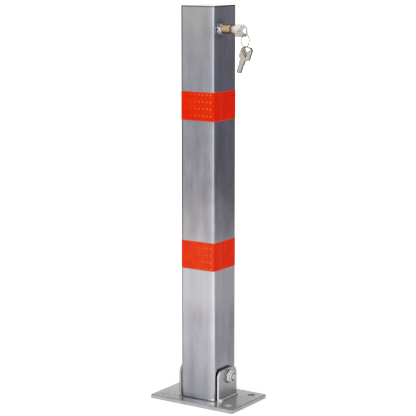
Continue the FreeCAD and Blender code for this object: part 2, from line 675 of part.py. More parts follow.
def return_spring():
    """Compression spring on the rod, between the upper guide's washer and the rod head."""
    axial = "(Sizes.spring_length - Sizes.spring_wire - 2 * Sizes.spring_play)"
    coil = DOC.addObject("Part::Helix", "spring_coil")
    bind(coil, Radius="Sizes.spring_radius", Height=axial, Pitch=axial + " / Sizes.spring_turns")
    wire = DOC.addObject("Part::Circle", "spring_section")
    bind(wire, Radius="Sizes.spring_wire / 2")
    turn(wire, X_AXIS, 90)
    place(wire, along="Sizes.spring_radius")
    spring = DOC.addObject("Part::Sweep", "return_spring")
    spring.Sections = [wire]
    spring.Spine = (coil, [])
    spring.Solid = True
    spring.Frenet = True
    place(spring, across=ROD_SIDE, up=SPRING_LOW + " + Sizes.spring_wire / 2 + Sizes.spring_play")
    return spring


def spring_seat():
    outer = "Sizes.spring_radius + Sizes.spring_wire"
    inner = "Sizes.rod_diameter / 2 + Sizes.seat_play"
    seat = washer("spring_seat", outer, inner, "Sizes.seat_thick")
    place(seat, across=ROD_SIDE, up=GUIDE_TOP)
    return seat


# Lock; every piece is turned about the lock's axis, which runs along X

def on_lock_axis(feature):
    place(feature, across=ROD_SIDE, up=LOCK_AXIS)


def turned(body, name, corners):
    """Adds a solid of revolution about X; corners are pairs of place along X and radius."""
    profile = new_sketch(body, name, "XZ_Plane")
    draw_polygon(profile, corners)
    revolve(body, name + "_turning", profile)


def lock_housing():
    """Flange and collar outside the tube, threaded barrel inside it, bored for the plunger."""
    body = new_body("lock_housing")
    bore = "Sizes.plunger_diameter / 2 + Sizes.plunger_play"
    barrel = "Sizes.barrel_diameter / 2"
    flange = "Sizes.flange_diameter / 2"
    collar = "Sizes.collar_outer / 2"
    flange_face = HALF_POST + " + Sizes.flange_thick"
    front = flange_face + " + Sizes.collar_length"
    turned(body, "housing_profile", (
        (BARREL_END, bore), (front, bore), (front, collar), (flange_face, collar),
        (flange_face, flange), (HALF_POST, flange), (HALF_POST, barrel), (BARREL_END, barrel)))
    rims = ((value(front), value(collar)), (value(flange_face), value(flange)))

    def is_rim(edge):
        curve = edge.Curve
        return isinstance(curve, Part.Circle) and any(
            abs(curve.Center.x - along) < 0.01 and abs(curve.Radius - radius) < 0.01
            for along, radius in rims)

    fillet(body, "housing_rims", is_rim, "Sizes.collar_edge")
    on_lock_axis(body)
    return body


def lock_nut():
    """Thin hexagon nut that clamps the housing from inside the tube."""
    body = new_body("lock_nut")
    outline = new_sketch(body, "locknut_outline", "YZ_Plane", INNER_HALF + " - Sizes.locknut_thick")
    half = "Sizes.locknut_flats / 2"
    side = "(Sizes.locknut_flats / (2 * sqrt(3)))"
    point = "(Sizes.locknut_flats / sqrt(3))"
    draw_polygon(outline, ((half, "-" + side), (half, side), ("0", point),
                           ("-" + half, side), ("-" + half, "-" + side), ("0", "-" + point)))
    draw_circle(outline, "0", "0", "Sizes.barrel_diameter / 2 + Sizes.pin_play")
    pad(body, "locknut_pad", outline, "Sizes.locknut_thick")
    on_lock_axis(body)
    return body


def plunger():
    """Brass plunger, popped out; it carries the key plug in front and the wedge behind."""
    body = new_body("plunger")
    outer = "Sizes.plunger_diameter / 2"
    recess = "Sizes.recess_diameter / 2"
    plug = "Sizes.plug_diameter / 2 + Sizes.plug_play"
    stem = "Sizes.stem_diameter / 2 + Sizes.pin_play"
    recess_floor = PLUNGER_FRONT + " - Sizes.recess_depth"
    edge_start = PLUNGER_FRONT + " - Sizes.plunger_edge"
    turned(body, "plunger_profile", (
        (WEDGE_ROOT, stem), (PLUG_REAR, stem), (PLUG_REAR, plug), (recess_floor, plug),
        (recess_floor, recess), (PLUNGER_FRONT, recess), (PLUNGER_FRONT, outer + " - Sizes.plunger_edge"),
        (edge_start, outer), (WEDGE_ROOT, outer)))
    pin_hole = new_sketch(body, "plunger_pin_hole", "XZ_Plane")
    draw_circle(pin_hole, WEDGE_ROOT + " + Sizes.stem_length / 2", "0",
                "Sizes.wedge_pin_diameter / 2 + Sizes.pin_play")
    pocket(body, "plunger_pin_bore", pin_hole, symmetric=True)
    on_lock_axis(body)
    return body


def plunger_wedge():
    """Wedge behind the plunger; its sloping underside drives the rod head down."""
    body = new_body("plunger_wedge")
    nose = "(Sizes.head_diameter / 2 + Sizes.slope_gap)"
    blank = new_sketch(body, "wedge_outline", "XZ_Plane")
    draw_polygon(blank, (
        ("-" + nose, "%s * %s" % (SLOPE, nose)), (WEDGE_ROOT, "-%s * %s" % (SLOPE, WEDGE_ROOT)),
        (WEDGE_ROOT, "Sizes.wedge_crest"), ("-" + nose, "Sizes.wedge_crest")))
    pad(body, "wedge_pad", blank, "Sizes.wedge_width", symmetric=True)
    stem_end = WEDGE_ROOT + " + Sizes.stem_length"
    turned(body, "wedge_stem", (
        (WEDGE_ROOT, "0"), (stem_end, "0"), (stem_end, "Sizes.stem_diameter / 2"),
        (WEDGE_ROOT, "Sizes.stem_diameter / 2")))
    pin_hole = new_sketch(body, "stem_pin_hole", "XZ_Plane")
    draw_circle(pin_hole, WEDGE_ROOT + " + Sizes.stem_length / 2", "0",
                "Sizes.wedge_pin_diameter / 2 + Sizes.pin_play")
    pocket(body, "stem_pin_bore", pin_hole, symmetric=True)
    on_lock_axis(body)
    return body


def wedge_pin():
    length = "Sizes.plunger_diameter - 2 * Sizes.wedge_pin_sink"
    pin = cylinder("wedge_pin", "Sizes.wedge_pin_diameter / 2", length)
    turn(pin, X_AXIS, -90)
    place(pin, along=WEDGE_ROOT + " + Sizes.stem_length / 2",
          across="%s - (%s) / 2" % (ROD_SIDE, length), up=LOCK_AXIS)
    return pin


def key_plug():
    """The plug that the key turns, with an upright keyway and a clip groove behind."""
    body = new_body("key_plug")
    radius = "Sizes.plug_diameter / 2"
    groove = "Sizes.plug_diameter / 2 - Sizes.clip_wall"
    groove_front = PLUG_REAR + " + Sizes.clip_gap / 2"
    groove_back = PLUG_REAR + " - Sizes.clip_gap - Sizes.clip_thick"
    tail = PLUG_REAR + " - Sizes.plug_tail"
    turned(body, "plug_profile", (
        (tail, "0"), (PLUG_FACE, "0"), (PLUG_FACE, radius), (groove_front, radius),
        (groove_front, groove), (groove_back, groove), (groove_back, radius), (tail, radius)))
    keyway = new_sketch(body, "keyway", "YZ_Plane", PLUG_FACE)
    half_thick = "(Sizes.key_thick / 2 + Sizes.keyway_play)"
    half_width = "(Sizes.blade_width / 2 + Sizes.keyway_play)"
    draw_rectangle(keyway, "-" + half_thick, half_thick, "-" + half_width, half_width)
    pocket(body, "keyway_cut", keyway, depth="Sizes.blade_length + 2 * Sizes.key_seat")
    on_lock_axis(body)
    return body


def plug_clip():
    outer = "Sizes.stem_diameter / 2 - Sizes.clip_gap"
    inner = "Sizes.plug_diameter / 2 - Sizes.clip_wall + Sizes.pin_play"
    clip = washer("plug_clip", outer, inner, "Sizes.clip_thick")
    turn(clip, Y_AXIS, 90)
    place(clip, along=PLUG_REAR + " - Sizes.clip_gap / 2 - Sizes.clip_thick",
          across=ROD_SIDE, up=LOCK_AXIS)
    return clip


# Keys, drawn flat with the blade along -X, the bow along +X and the neck's end at the origin

def key_outline():
    """Corners of a key, from the neck round the bow and back along the blade's cuts."""
    neck = "Sizes.neck_width / 2"
    blade = "Sizes.blade_width / 2"
    high = "(Sizes.bow_width / 2 - Sizes.bow_drop)"
    low = "(-Sizes.bow_width / 2 - Sizes.bow_drop)"
    bow_start = "Sizes.neck_length"
    corner = "Sizes.bow_corner"
    far_corner = "Sizes.bow_far_corner"
    bow = [
        ("0", neck), (bow_start, neck), ("%s + %s" % (bow_start, corner), high),
        ("%s - %s" % (KEY_LENGTH, far_corner), high), (KEY_LENGTH, "%s - %s" % (high, far_corner)),
        (KEY_LENGTH, "%s + %s" % (low, corner)), ("%s - %s" % (KEY_LENGTH, corner), low),
        ("%s + %s" % (bow_start, corner), low), (bow_start, "-" + neck), ("0", "-" + neck),
    ]
    tip = "-Sizes.blade_length"
    tip_start = tip + " + Sizes.blade_width / 4"
    blade_end = [("0", "-" + blade), (tip_start, "-" + blade), (tip, "0"), (tip_start, blade)]
    return bow + blade_end + blade_cuts(blade, tip) + [("0", blade)]


def blade_cuts(blade, tip):
    """Corners of the cuts along a blade's upper edge, each a share of the deepest cut."""
    shares = (0.5, 1.0, 0.3, 0.8)
    first_place = 1.6
    pitch = "Sizes.blade_length / %d" % (len(shares) + 1)
    corners = []
    for index, share in enumerate(shares):
        middle = "%s + %s * %.1f" % (tip, pitch, index + first_place)
        corners.append(("%s - %s / 4" % (middle, pitch), blade))
        corners.append((middle, "%s - Sizes.blade_cut * %.1f" % (blade, share)))
        corners.append(("%s + %s / 4" % (middle, pitch), blade))
    return corners


def grip_grooves(body, name, offset, toward_front):
    """Two slanting grooves in one face of a bow."""
    sketch = new_sketch(body, name, "XZ_Plane", offset)
    for index in range(2):
        start = "Sizes.neck_length + Sizes.groove_inset + %d * Sizes.groove_pitch" % index
        end = start + " + Sizes.groove_run"
        draw_polygon(sketch, ((start, "-Sizes.groove_fall"),
                              (start + " + Sizes.groove_width", "-Sizes.groove_fall"),
                              (end + " + Sizes.groove_width", "Sizes.groove_rise"),
                              (end, "Sizes.groove_rise")))
    pocket(body, name + "_cut", sketch, reversed_cut=toward_front, depth="Sizes.key_thick")


def flat_key(name):
    body = new_body(name)
    outline = new_sketch(body, name + "_outline", "XZ_Plane")
    draw_polygon(outline, key_outline())
    pad(body, name + "_pad", outline, "Sizes.key_thick", symmetric=True)
    hole = new_sketch(body, name + "_ring_hole", "XZ_Plane")
    draw_polygon(hole, ((HOLE_FAR, "-Sizes.hole_half - Sizes.hole_drop"),
                        (HOLE_FAR, "Sizes.hole_half - Sizes.hole_drop"),
                        (HOLE_FAR + " - Sizes.hole_depth", "-Sizes.hole_drop")))
    pocket(body, name + "_ring_hole_cut", hole, symmetric=True)
    groove_floor = "(Sizes.key_thick / 2 - Sizes.groove_depth)"
    grip_grooves(body, name + "_front_grooves", groove_floor, True)
    grip_grooves(body, name + "_back_grooves", "-" + groove_floor, False)
    return body


def inserted_key():
    body = flat_key("key")
    place(body, along=NECK_START, across=ROD_SIDE, up=LOCK_AXIS)
    return body


def ring_top():
    """Centre of the ring's wire where it hangs in the inserted key's lower hole corner."""
    along = value("%s + %s - %s" % (NECK_START, KEY_LENGTH, WIRE_IN))
    up = value(LOCK_AXIS + " - Sizes.hole_drop - Sizes.hole_half + " + RING_STEP)
    return FreeCAD.Vector(along, value(ROD_SIDE), up)


def key_ring():
    """A wire ring, open by a few degrees where its two ends meet."""
    ring = DOC.addObject("Part::Torus", "key_ring")
    bind(ring, Radius1="Sizes.ring_radius", Radius2="Sizes.ring_wire / 2", Angle3="360 - Sizes.ring_gap")
    upright = FreeCAD.Rotation(X_AXIS, 90)
    opening = FreeCAD.Rotation(Y_AXIS, -value("Sizes.ring_gap") / 2)
    about_z = FreeCAD.Rotation(Z_AXIS, 180 + value("Sizes.ring_turn"))
    centre = ring_top() - FreeCAD.Vector(0, 0, value("Sizes.ring_radius"))
    ring.Placement = FreeCAD.Placement(centre, about_z * opening * upright)
    return ring


def spare_key():
    """The second key, hanging by a corner of its hole so that its weight is under the wire."""
    body = flat_key("spare_key")
    held = FreeCAD.Vector(value("%s - %s" % (KEY_LENGTH, WIRE_IN)), 0,
                          value("Sizes.hole_half - Sizes.hole_drop - " + RING_STEP))
    lean = FreeCAD.Rotation(Y_AXIS, value("Sizes.spare_lean") - 90)
    twist = FreeCAD.Rotation(Z_AXIS, value("Sizes.spare_twist"))
    rotation = twist * lean
    bottom = ring_top() - FreeCAD.Vector(0, 0, 2 * value("Sizes.ring_radius"))
    body.Placement = FreeCAD.Placement(bottom - rotation.multVec(held), rotation)
    return body


def build():
    bolt_faces = (("Sizes.washer_thick", "-" + HEAD_SEAT), ("Sizes.washer_thick", LUG_OUT))
    left_thick = "(Sizes.left_lug_gap - Sizes.spacer_play)"
    right_thick = "(Sizes.lug_gap - Sizes.spacer_play)"
    tube_faces = ((left_thick, "-" + LEFT_IN), (right_thick, "%s - %s" % (LUG_IN, right_thick)))
    return [
        base_plate(),
        hinge_lug("left_lug", "-" + LEFT_OUT),
        hinge_lug("right_lug", LUG_IN),
        lug_weld("left_weld", -1, LEFT_OUT),
        lug_weld("right_weld", 1, LUG_OUT),
        hinge_bolt(),
        hinge_washers("outer_washers", "Sizes.washer_diameter / 2", bolt_faces),
        hinge_washers("inner_washers", "Sizes.spacer_diameter / 2", tube_faces),
        hinge_nut(),
        nut_insert(),
        post_tube(),
        top_cap(),
        hinge_sleeve(),
        reflective_band("upper_band", "(Sizes.post_top - Sizes.upper_band_drop)"),
        reflective_band("lower_band", "Sizes.lower_band_low"),
        rod_guide("lower_guide", "Sizes.lower_guide_rise"),
        rod_guide("upper_guide", GUIDE_TOP + " - Sizes.guide_thick"),
        spring_seat(),
        return_spring(),
        lock_rod(),
        rod_head(),
        head_pin(),
        lock_housing(),
        lock_nut(),
        plunger(),
        plunger_wedge(),
        wedge_pin(),
        key_plug(),
        plug_clip(),
        inserted_key(),
        key_ring(),
        spare_key(),
    ]


def check_document(parts):
    for feature in DOC.Objects:
        if "Invalid" in feature.State or "Error" in feature.State:
            raise ValueError("%s is not up to date: %s" % (feature.Name, feature.State))
    for feature in parts:
        shape = feature.Shape
        if shape.isNull() or not shape.isValid() or not shape.Solids:
            raise ValueError("%s has no valid solid" % feature.Label)


def export(parts):
    os.makedirs("parts", exist_ok=True)
    for feature in parts:
        feature.Shape.exportStep(os.path.join("parts", feature.Label + ".step"))


fill_sheet()
PARTS = build()
DOC.recompute()
check_document(PARTS)
export(PARTS)
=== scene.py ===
"""Scene for the fold-down parking post: camera, light, floor, finishes and fine pieces, in metres."""
import math

import bmesh
import bpy
from mathutils import Matrix, Vector, noise

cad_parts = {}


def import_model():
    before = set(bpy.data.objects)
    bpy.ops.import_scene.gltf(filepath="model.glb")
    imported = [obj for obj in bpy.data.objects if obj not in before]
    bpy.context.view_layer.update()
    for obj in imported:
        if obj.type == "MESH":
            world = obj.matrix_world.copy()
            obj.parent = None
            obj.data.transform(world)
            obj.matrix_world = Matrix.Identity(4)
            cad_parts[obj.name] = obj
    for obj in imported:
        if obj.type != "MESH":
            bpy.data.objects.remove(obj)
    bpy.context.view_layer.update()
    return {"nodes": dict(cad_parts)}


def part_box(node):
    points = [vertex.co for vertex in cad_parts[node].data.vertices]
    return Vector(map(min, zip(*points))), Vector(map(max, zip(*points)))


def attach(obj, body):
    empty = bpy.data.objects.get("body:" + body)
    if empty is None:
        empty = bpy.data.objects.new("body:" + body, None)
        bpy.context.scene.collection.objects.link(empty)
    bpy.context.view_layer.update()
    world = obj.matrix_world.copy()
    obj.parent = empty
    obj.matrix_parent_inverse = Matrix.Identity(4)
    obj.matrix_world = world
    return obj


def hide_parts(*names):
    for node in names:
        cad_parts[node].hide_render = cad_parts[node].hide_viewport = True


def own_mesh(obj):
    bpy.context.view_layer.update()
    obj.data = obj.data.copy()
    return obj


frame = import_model()

# Camera, solved from the photograph's edges
CAMERA_PLACE = (1.23601, -1.86645, 0.69645)
CAMERA_YAW = 33.53
CAMERA_PITCH_DOWN = 10.1
CAMERA_LENS = 130.4
CAMERA_SENSOR = 36.0

# Light
WORLD_FILL = 0.55
WORLD_SHOWN = 1.0
FLOOR_SIZE = 60.0
FLOOR_COLOUR = (0.86, 0.86, 0.86, 1)
FLOOR_GLOW = (0.42, 1.0)
FLOOR_GLOW_REACH = (0.5, 3.0)

# Cards that only reflections see, as headings in degrees from +Y towards +X, and how pale they are
CARD_RING = 1.35
CARD_HEIGHTS = (0.0, 0.27, 0.40, 2.0)
CARD_RISE = (1.0, 1.0, 1.3, 1.3)
RIGHT_CARD = ((-8, 0.17), (108, 0.17))
FRONT_CARD = ((124, 0.96), (175, 0.92), (203, 0.72))
LEFT_CARD = ((212, 0.54), (217, 0.54))
BACK_CARD = ((222, 0.22), (229, 0.20), (233, 0.02), (260, 0.02), (265, 0.20), (280, 0.20), (286, 0.02),
             (300, 0.02))
EDGE_CARD = ((-62, 0.04), (-20, 0.04))
EDGE_CARD_RING = 0.5
EDGE_CARD_HEIGHTS = (0.17, 0.57)
FLOOR_INNER = 0.22
FLOOR_CARDS = (((-33, 0.30), (0, 0.50), (74, 0.58), (96, 1.05), (180, 1.1), (214, 1.0), (226, 0.9),
                (240, 0.40), (327, 0.30)),)
DARK_FLOOR = (((-60, 0.04), (-8, 0.08)),)
DARK_FLOOR_END = 3.6

# Hinge hardware, in metres
THREAD_PITCH = 0.0015
THREAD_DEPTH = 0.0008
THREAD_LENGTH = 0.0045
CROWN_RADIUS = 0.00815
CROWN_SLOPE = math.tan(math.radians(60))
BOLT_FLATS = 0.017
BOLT_RADIUS = 0.005
BOLT_EDGE = 0.0008
BOLT_HEAD = 0.0064
POINT_LENGTH = 0.0024
POINT_RADIUS = 0.0042

# Weld beads
RIPPLE_PITCH = 0.0030
RIPPLE_DEPTH = 0.22

# Return spring
SPRING_WIRE = 0.0012
SPRING_TURNS = 6

# Finish of the tube: its top, the ground seam round its cap, its foot, and the middle of a rubbed zone
TUBE_TOP = 0.602
CAP_SEAM = 0.6008
TUBE_FOOT = 0.0065
RUBBED_HEIGHT = 0.20
PLATE_RIM = 0.002

# Keys: the middle of each one's sheet, its normal and half of its thickness
KEY_PLANE = ((0.0743, -0.0155, 0.5683), (0.0, 1.0, 0.0))
SPARE_PLANE = ((0.0743, -0.0155, 0.5428), (-math.sin(math.radians(5)), math.cos(math.radians(5)), 0.0))
KEY_HALF = 0.0012
SPARE_RIGHT = (0.8, 0.0, -0.6)

# Front of the popped-out plunger
PLUNGER_FRONT = 0.0512

# Reflective tape: spacing and radius of the pale dots
DOT_COLUMN = 0.0068
DOT_ROW = 0.0104
DOT_RADIUS = 0.0009
DOT_FADE_END = 0.020
TAPE_LINE = 0.0007
TAPE_OVERLAP = -0.0132


# Node graphs

class Finish:
    """A material with one Principled shader and the nodes that feed it."""

    def __init__(self, name, colour, metallic=0.0, roughness=0.5):
        self.material = bpy.data.materials.new(name)
        self.material.use_nodes = True
        self.tree = self.material.node_tree
        self.shader = self.tree.nodes["Principled BSDF"]
        self.give("Base Color", (*colour, 1))
        self.give("Metallic", metallic)
        self.give("Roughness", roughness)
        coordinates = self.add("ShaderNodeTexCoord")
        self.place = coordinates.outputs["Object"]
        self.normal = coordinates.outputs["Normal"]
        self.height = None

    def add(self, kind, **settings):
        node = self.tree.nodes.new(kind)
        for name, setting in settings.items():
            setattr(node, name, setting)
        return node

    def join(self, source, socket):
        """Links an output to a socket, or writes a plain value on it."""
        if isinstance(source, bpy.types.NodeSocket):
            self.tree.links.new(source, socket)
        else:
            socket.default_value = source

    def give(self, name, source):
        self.join(source, self.shader.inputs[name])

    def math(self, operation, first, second=0.0):
        node = self.add("ShaderNodeMath", operation=operation)
        self.join(first, node.inputs[0])
        self.join(second, node.inputs[1])
        return node.outputs[0]

    def axes(self, vector=None):
        node = self.add("ShaderNodeSeparateXYZ")
        self.join(vector or self.place, node.inputs[0])
        return node.outputs[0], node.outputs[1], node.outputs[2]

    def noise(self, scale, stretch=(1, 1, 1), detail=3.0, roughness=0.55):
        """Grey noise with the given number of features to a metre."""
        mapping = self.add("ShaderNodeMapping")
        mapping.inputs["Scale"].default_value = stretch
        self.join(self.place, mapping.inputs["Vector"])
        texture = self.add("ShaderNodeTexNoise")
        self.join(mapping.outputs[0], texture.inputs["Vector"])
        texture.inputs["Scale"].default_value = scale
        texture.inputs["Detail"].default_value = detail
        texture.inputs["Roughness"].default_value = roughness
        return texture.outputs[0]

    def spread(self, source, low, high, from_low=0.3, from_high=0.7):
        """Stretches the middle of a grey signal to a range."""
        node = self.add("ShaderNodeMapRange")
        self.join(source, node.inputs["Value"])
        node.inputs["From Min"].default_value = from_low
        node.inputs["From Max"].default_value = from_high
        node.inputs["To Min"].default_value = low
        node.inputs["To Max"].default_value = high
        return node.outputs[0]

    def mix(self, factor, first, second, blend="MIX"):
        node = self.add("ShaderNodeMixRGB", blend_type=blend)
        self.join(factor, node.inputs["Fac"])
        self.join(first, node.inputs["Color1"])
        self.join(second, node.inputs["Color2"])
        return node.outputs[0]

    def bump(self, height, distance, strength=1.0):
        """Adds relief of a real depth, over any relief already there."""
        node = self.add("ShaderNodeBump")
        node.inputs["Strength"].default_value = strength
        node.inputs["Distance"].default_value = distance
        self.join(height, node.inputs["Height"])
        if self.height is not None:
            self.join(self.height, node.inputs["Normal"])
        self.height = node.outputs[0]
        self.give("Normal", self.height)

    def crevice(self, distance, deepest=0.25, open_from=0.8):
        """Grey signal that rises to 1 in corners and under neighbouring pieces, where the finishes use it as
        painted shade.
        """
        node = self.add("ShaderNodeAmbientOcclusion", samples=12)
        node.inputs["Distance"].default_value = distance
        return self.spread(node.outputs["AO"], 1.0, 0.0, deepest, open_from)

    def level(self):
        """Grey signal that is 1 on surfaces that face straight up or down."""
        facing = self.axes(self.normal)[2]
        return self.spread(self.math("ABSOLUTE", facing), 0.0, 1.0, 0.5, 0.9)

    def rim(self, distance):
        """Grey signal that rises to 1 close to the outline of a flat face."""
        node = self.add("ShaderNodeAmbientOcclusion", samples=12, inside=True)
        node.inputs["Distance"].default_value = distance
        return self.spread(node.outputs["AO"], 1.0, 0.0, 0.6, 0.95)

    def beyond_plane(self, point, normal):
        """Distance in front of a plane through a point, negative behind it."""
        shift = self.add("ShaderNodeVectorMath", operation="SUBTRACT")
        self.join(self.place, shift.inputs[0])
        shift.inputs[1].default_value = point
        product = self.add("ShaderNodeVectorMath", operation="DOT_PRODUCT")
        self.join(shift.outputs["Vector"], product.inputs[0])
        product.inputs[1].default_value = normal
        return product.outputs["Value"]


# Finishes

def galvanised_tube():
    """Cloudy zinc: warm and bluish patches, faint lines along the tube and a paler handled top."""
    finish = Finish("galvanised_tube", (0.5, 0.5, 0.52), 1.0, 0.24)
    clouds = finish.noise(34, (1, 1, 0.55), 5)
    streaks = finish.noise(170, (1, 1, 0.02), 2)
    runs = finish.noise(60, (1, 1, 0.10), 3)
    blots = finish.noise(8, (1, 1, 0.6), 2)
    up = finish.axes()[2]
    facing = finish.axes(finish.normal)
    tint = finish.mix(finish.spread(blots, 0, 1), (0.57, 0.55, 0.575, 1), (0.50, 0.515, 0.58, 1))
    tint = finish.mix(finish.spread(up, 0.0, 0.8, 0.50, 0.59), tint, (0.57, 0.56, 0.55, 1))
    # Painted reflection: the front corner and the front face beside it take pale and bluish tints that change
    # with height
    front = finish.math("MULTIPLY", facing[1], -1.0)
    round_corner = finish.spread(finish.math("MULTIPLY", facing[0], front), 0.0, 1.0, 0.02, 0.3)
    beside = finish.math("MULTIPLY", finish.spread(front, 0.0, 1.0, 0.6, 0.9),
                         finish.spread(finish.axes()[0], 0.0, 0.8, 0.018, 0.0255))
    corner = finish.math("MAXIMUM", round_corner, beside)
    high_corner = finish.mix(round_corner, (0.64, 0.68, 0.72, 1), (0.49, 0.53, 0.57, 1))
    corner_tint = finish.mix(finish.spread(up, 0.0, 1.0, 0.16, 0.32), (0.76, 0.75, 0.78, 1), high_corner)
    tint = finish.mix(corner, tint, corner_tint)
    shade = finish.mix(finish.spread(clouds, 0, 1), (0.84, 0.83, 0.84, 1), (1.10, 1.09, 1.10, 1))
    lines = finish.mix(finish.spread(streaks, 0, 1), (0.95, 0.95, 0.95, 1), (1.03, 1.03, 1.03, 1))
    run_shade = finish.mix(finish.spread(runs, 0, 1), (0.86, 0.86, 0.88, 1), (1.06, 1.06, 1.05, 1))
    coloured = finish.mix(1.0, finish.mix(1.0, tint, shade, "MULTIPLY"), run_shade, "MULTIPLY")
    coloured = finish.mix(finish.spread(up, 0.0, 0.26, TUBE_TOP - 0.04, TUBE_TOP), coloured,
                          (0.86, 0.84, 0.83, 1))
    from_rubbed = finish.math("ABSOLUTE", finish.math("SUBTRACT", up, RUBBED_HEIGHT))
    coloured = finish.mix(finish.spread(from_rubbed, 0.45, 0.0, 0.035, 0.065), coloured,
                          (0.76, 0.75, 0.77, 1))
    # Painted reflection: the right faces turn bluish above about a third of a metre
    side = finish.spread(facing[0], 0.0, 1.0, 0.6, 0.9)
    side_tint = finish.mix(finish.spread(up, 0.0, 1.0, 0.27, 0.34), (1.01, 0.99, 1.03, 1),
                           (0.99, 0.97, 1.14, 1))
    coloured = finish.mix(side, coloured, side_tint, "MULTIPLY")
    # Painted reflection: a reddish tint along the back edge of the right faces
    back_edge = finish.math("MULTIPLY", side,
                            finish.spread(finish.axes()[1], 0.0, 0.35, 0.0215, 0.0255))
    coloured = finish.mix(back_edge, coloured, (0.80, 0.62, 0.52, 1))
    foot = finish.spread(up, 0.25, 0.0, TUBE_FOOT + 0.004, TUBE_FOOT + 0.007)
    coloured = finish.mix(foot, coloured, (0.38, 0.41, 0.40, 1))
    # Painted highlight: a white lip on the front corner just above the foot
    lip = finish.math("MULTIPLY", corner, finish.spread(up, 1.0, 0.0, TUBE_FOOT + 0.003, TUBE_FOOT + 0.005))
    coloured = finish.mix(lip, coloured, (0.98, 0.98, 0.98, 1))
    # Painted shadow: a black line along the bottom edge
    foot_line = finish.spread(up, 0.8, 0.0, TUBE_FOOT + 0.0007, TUBE_FOOT + 0.0016)
    coloured = finish.mix(foot_line, coloured, (0.03, 0.03, 0.035, 1))
    # Painted light: faces that look up or down are paler
    coloured = finish.mix(finish.math("MULTIPLY", finish.level(), 0.9), coloured, (0.92, 0.92, 0.93, 1))
    from_seam = finish.math("ABSOLUTE", finish.math("SUBTRACT", up, CAP_SEAM))
    seam = finish.spread(from_seam, 0.80, 0.0, 0.0005, 0.0012)
    coloured = finish.mix(seam, coloured, (0.05, 0.05, 0.06, 1))
    # Painted shade: the tube darkens in the hollows round the lock
    from_lock = finish.math("ABSOLUTE", finish.math("SUBTRACT", up, KEY_PLANE[0][2]))
    by_lock = finish.spread(from_lock, 0.85, 0.0, 0.012, 0.03)
    dirt_and_shade = finish.math("MULTIPLY", finish.crevice(0.022, 0.55, 0.92), by_lock)
    coloured = finish.mix(dirt_and_shade, coloured, (0.02, 0.02, 0.03, 1))
    finish.give("Base Color", finish.mix(1.0, coloured, lines, "MULTIPLY"))
    finish.give("Roughness", finish.spread(clouds, 0.19, 0.28))
    finish.bump(streaks, 0.00003, 0.4)
    finish.bump(finish.noise(120, (1, 1, 0.4), 3), 0.00006, 0.4)
    return finish.material


def bolt_zinc(name, end_colour, end_metallic, joint_shade_strength=0.95, seat=None, left_colour=None):
    """Zinc plate with pale sides, painted light and shade of its own on the end faces, and painted black
    shade where pieces meet.
    """
    finish = zinc_surface(name, (0.97, 0.97, 0.97), 0.25, 0.04)
    facing = finish.axes(finish.normal)[0]
    end = finish.spread(finish.math("ABSOLUTE", facing), 0.0, 1.0, 0.6, 0.9)
    # End faces take the given colours by the way they face, as painted light and shade
    side_colour = finish.mix(finish.math("GREATER_THAN", facing, 0.0), (*(left_colour or end_colour), 1),
                             (*end_colour, 1))
    faced = finish.mix(end, finish.coloured, side_colour)
    # Painted shadow: the nut is black for a short way next to its seat
    if seat is not None:
        by_seat = finish.spread(finish.axes()[0], 0.97, 0.0, seat + 0.0009, seat + 0.0015)
        faced = finish.mix(by_seat, faced, (0.02, 0.02, 0.022, 1))
    # Painted shade: joins between pieces turn black
    dirt_and_shade = finish.math("MULTIPLY", finish.crevice(0.003, 0.45, 0.85), joint_shade_strength)
    finish.give("Base Color", finish.mix(dirt_and_shade, faced, (0.01, 0.01, 0.012, 1)))
    finish.give("Metallic", finish.spread(end, 0.15, end_metallic, 0.0, 1.0))
    return finish.material


def zinc_surface(name, colour, roughness, wear, flecks=0.26, relief=0.5):
    """The clouds, spangle and rub marks that all the zinc plate shares."""
    finish = Finish(name, colour, 1.0, roughness)
    clouds = finish.noise(45, detail=4)
    spangle = finish.noise(420, detail=2)
    marks = finish.noise(500, (1, 0.15, 1), 2)
    dark = tuple(part * 0.80 for part in colour) + (1,)
    cloudy = finish.mix(finish.spread(clouds, 0, 1), dark, (*colour, 1))
    finish.coloured = finish.mix(finish.spread(spangle, flecks, 0.0), cloudy, dark)
    finish.give("Roughness", finish.math("ADD", finish.spread(clouds, roughness, roughness + wear),
                                         finish.spread(marks, 0, wear)))
    finish.bump(finish.noise(90, detail=3), 0.00006, relief)
    finish.bump(marks, 0.00002, 0.8 * relief)
    return finish


def lug_zinc(node, rim_shade, outline):
    """Zinc plate on a lug's flat sides, and a duller cut rim at its front with a dark outer edge, which is a
    painted reflection, and painted shade where pieces meet.
    """
    finish = zinc_surface(node + "_zinc", (0.72, 0.71, 0.74), 0.3, 0.04)
    front = finish.math("MULTIPLY", finish.axes(finish.normal)[1], -1.0)
    rim = finish.spread(front, 0.0, 1.0, 0.2, 0.75)
    pale = finish.mix(rim, finish.coloured, (rim_shade, rim_shade, rim_shade, 1))
    outer = max(abs(corner.x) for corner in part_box(node))
    from_middle = finish.math("ABSOLUTE", finish.axes()[0])
    cut = finish.spread(finish.math("ABSOLUTE", finish.axes(finish.normal)[0]), 1.0, 0.0, 0.6, 0.9)
    # Painted reflection: a dark line along the outer edge of the cut rim
    outer_edge = finish.spread(from_middle, 0.0, outline, outer - 0.0018, outer - 0.0006)
    pale = finish.mix(finish.math("MULTIPLY", cut, outer_edge), pale, (0.08, 0.08, 0.09, 1))
    # Painted shade: joins between pieces darken
    dirt_and_shade = finish.math("MULTIPLY", finish.crevice(0.003), 0.7)
    finish.give("Base Color", finish.mix(dirt_and_shade, pale, (0.03, 0.03, 0.035, 1)))
    finish.give("Metallic", finish.spread(rim, 1.0, 0.35, 0.0, 1.0))
    return finish.material


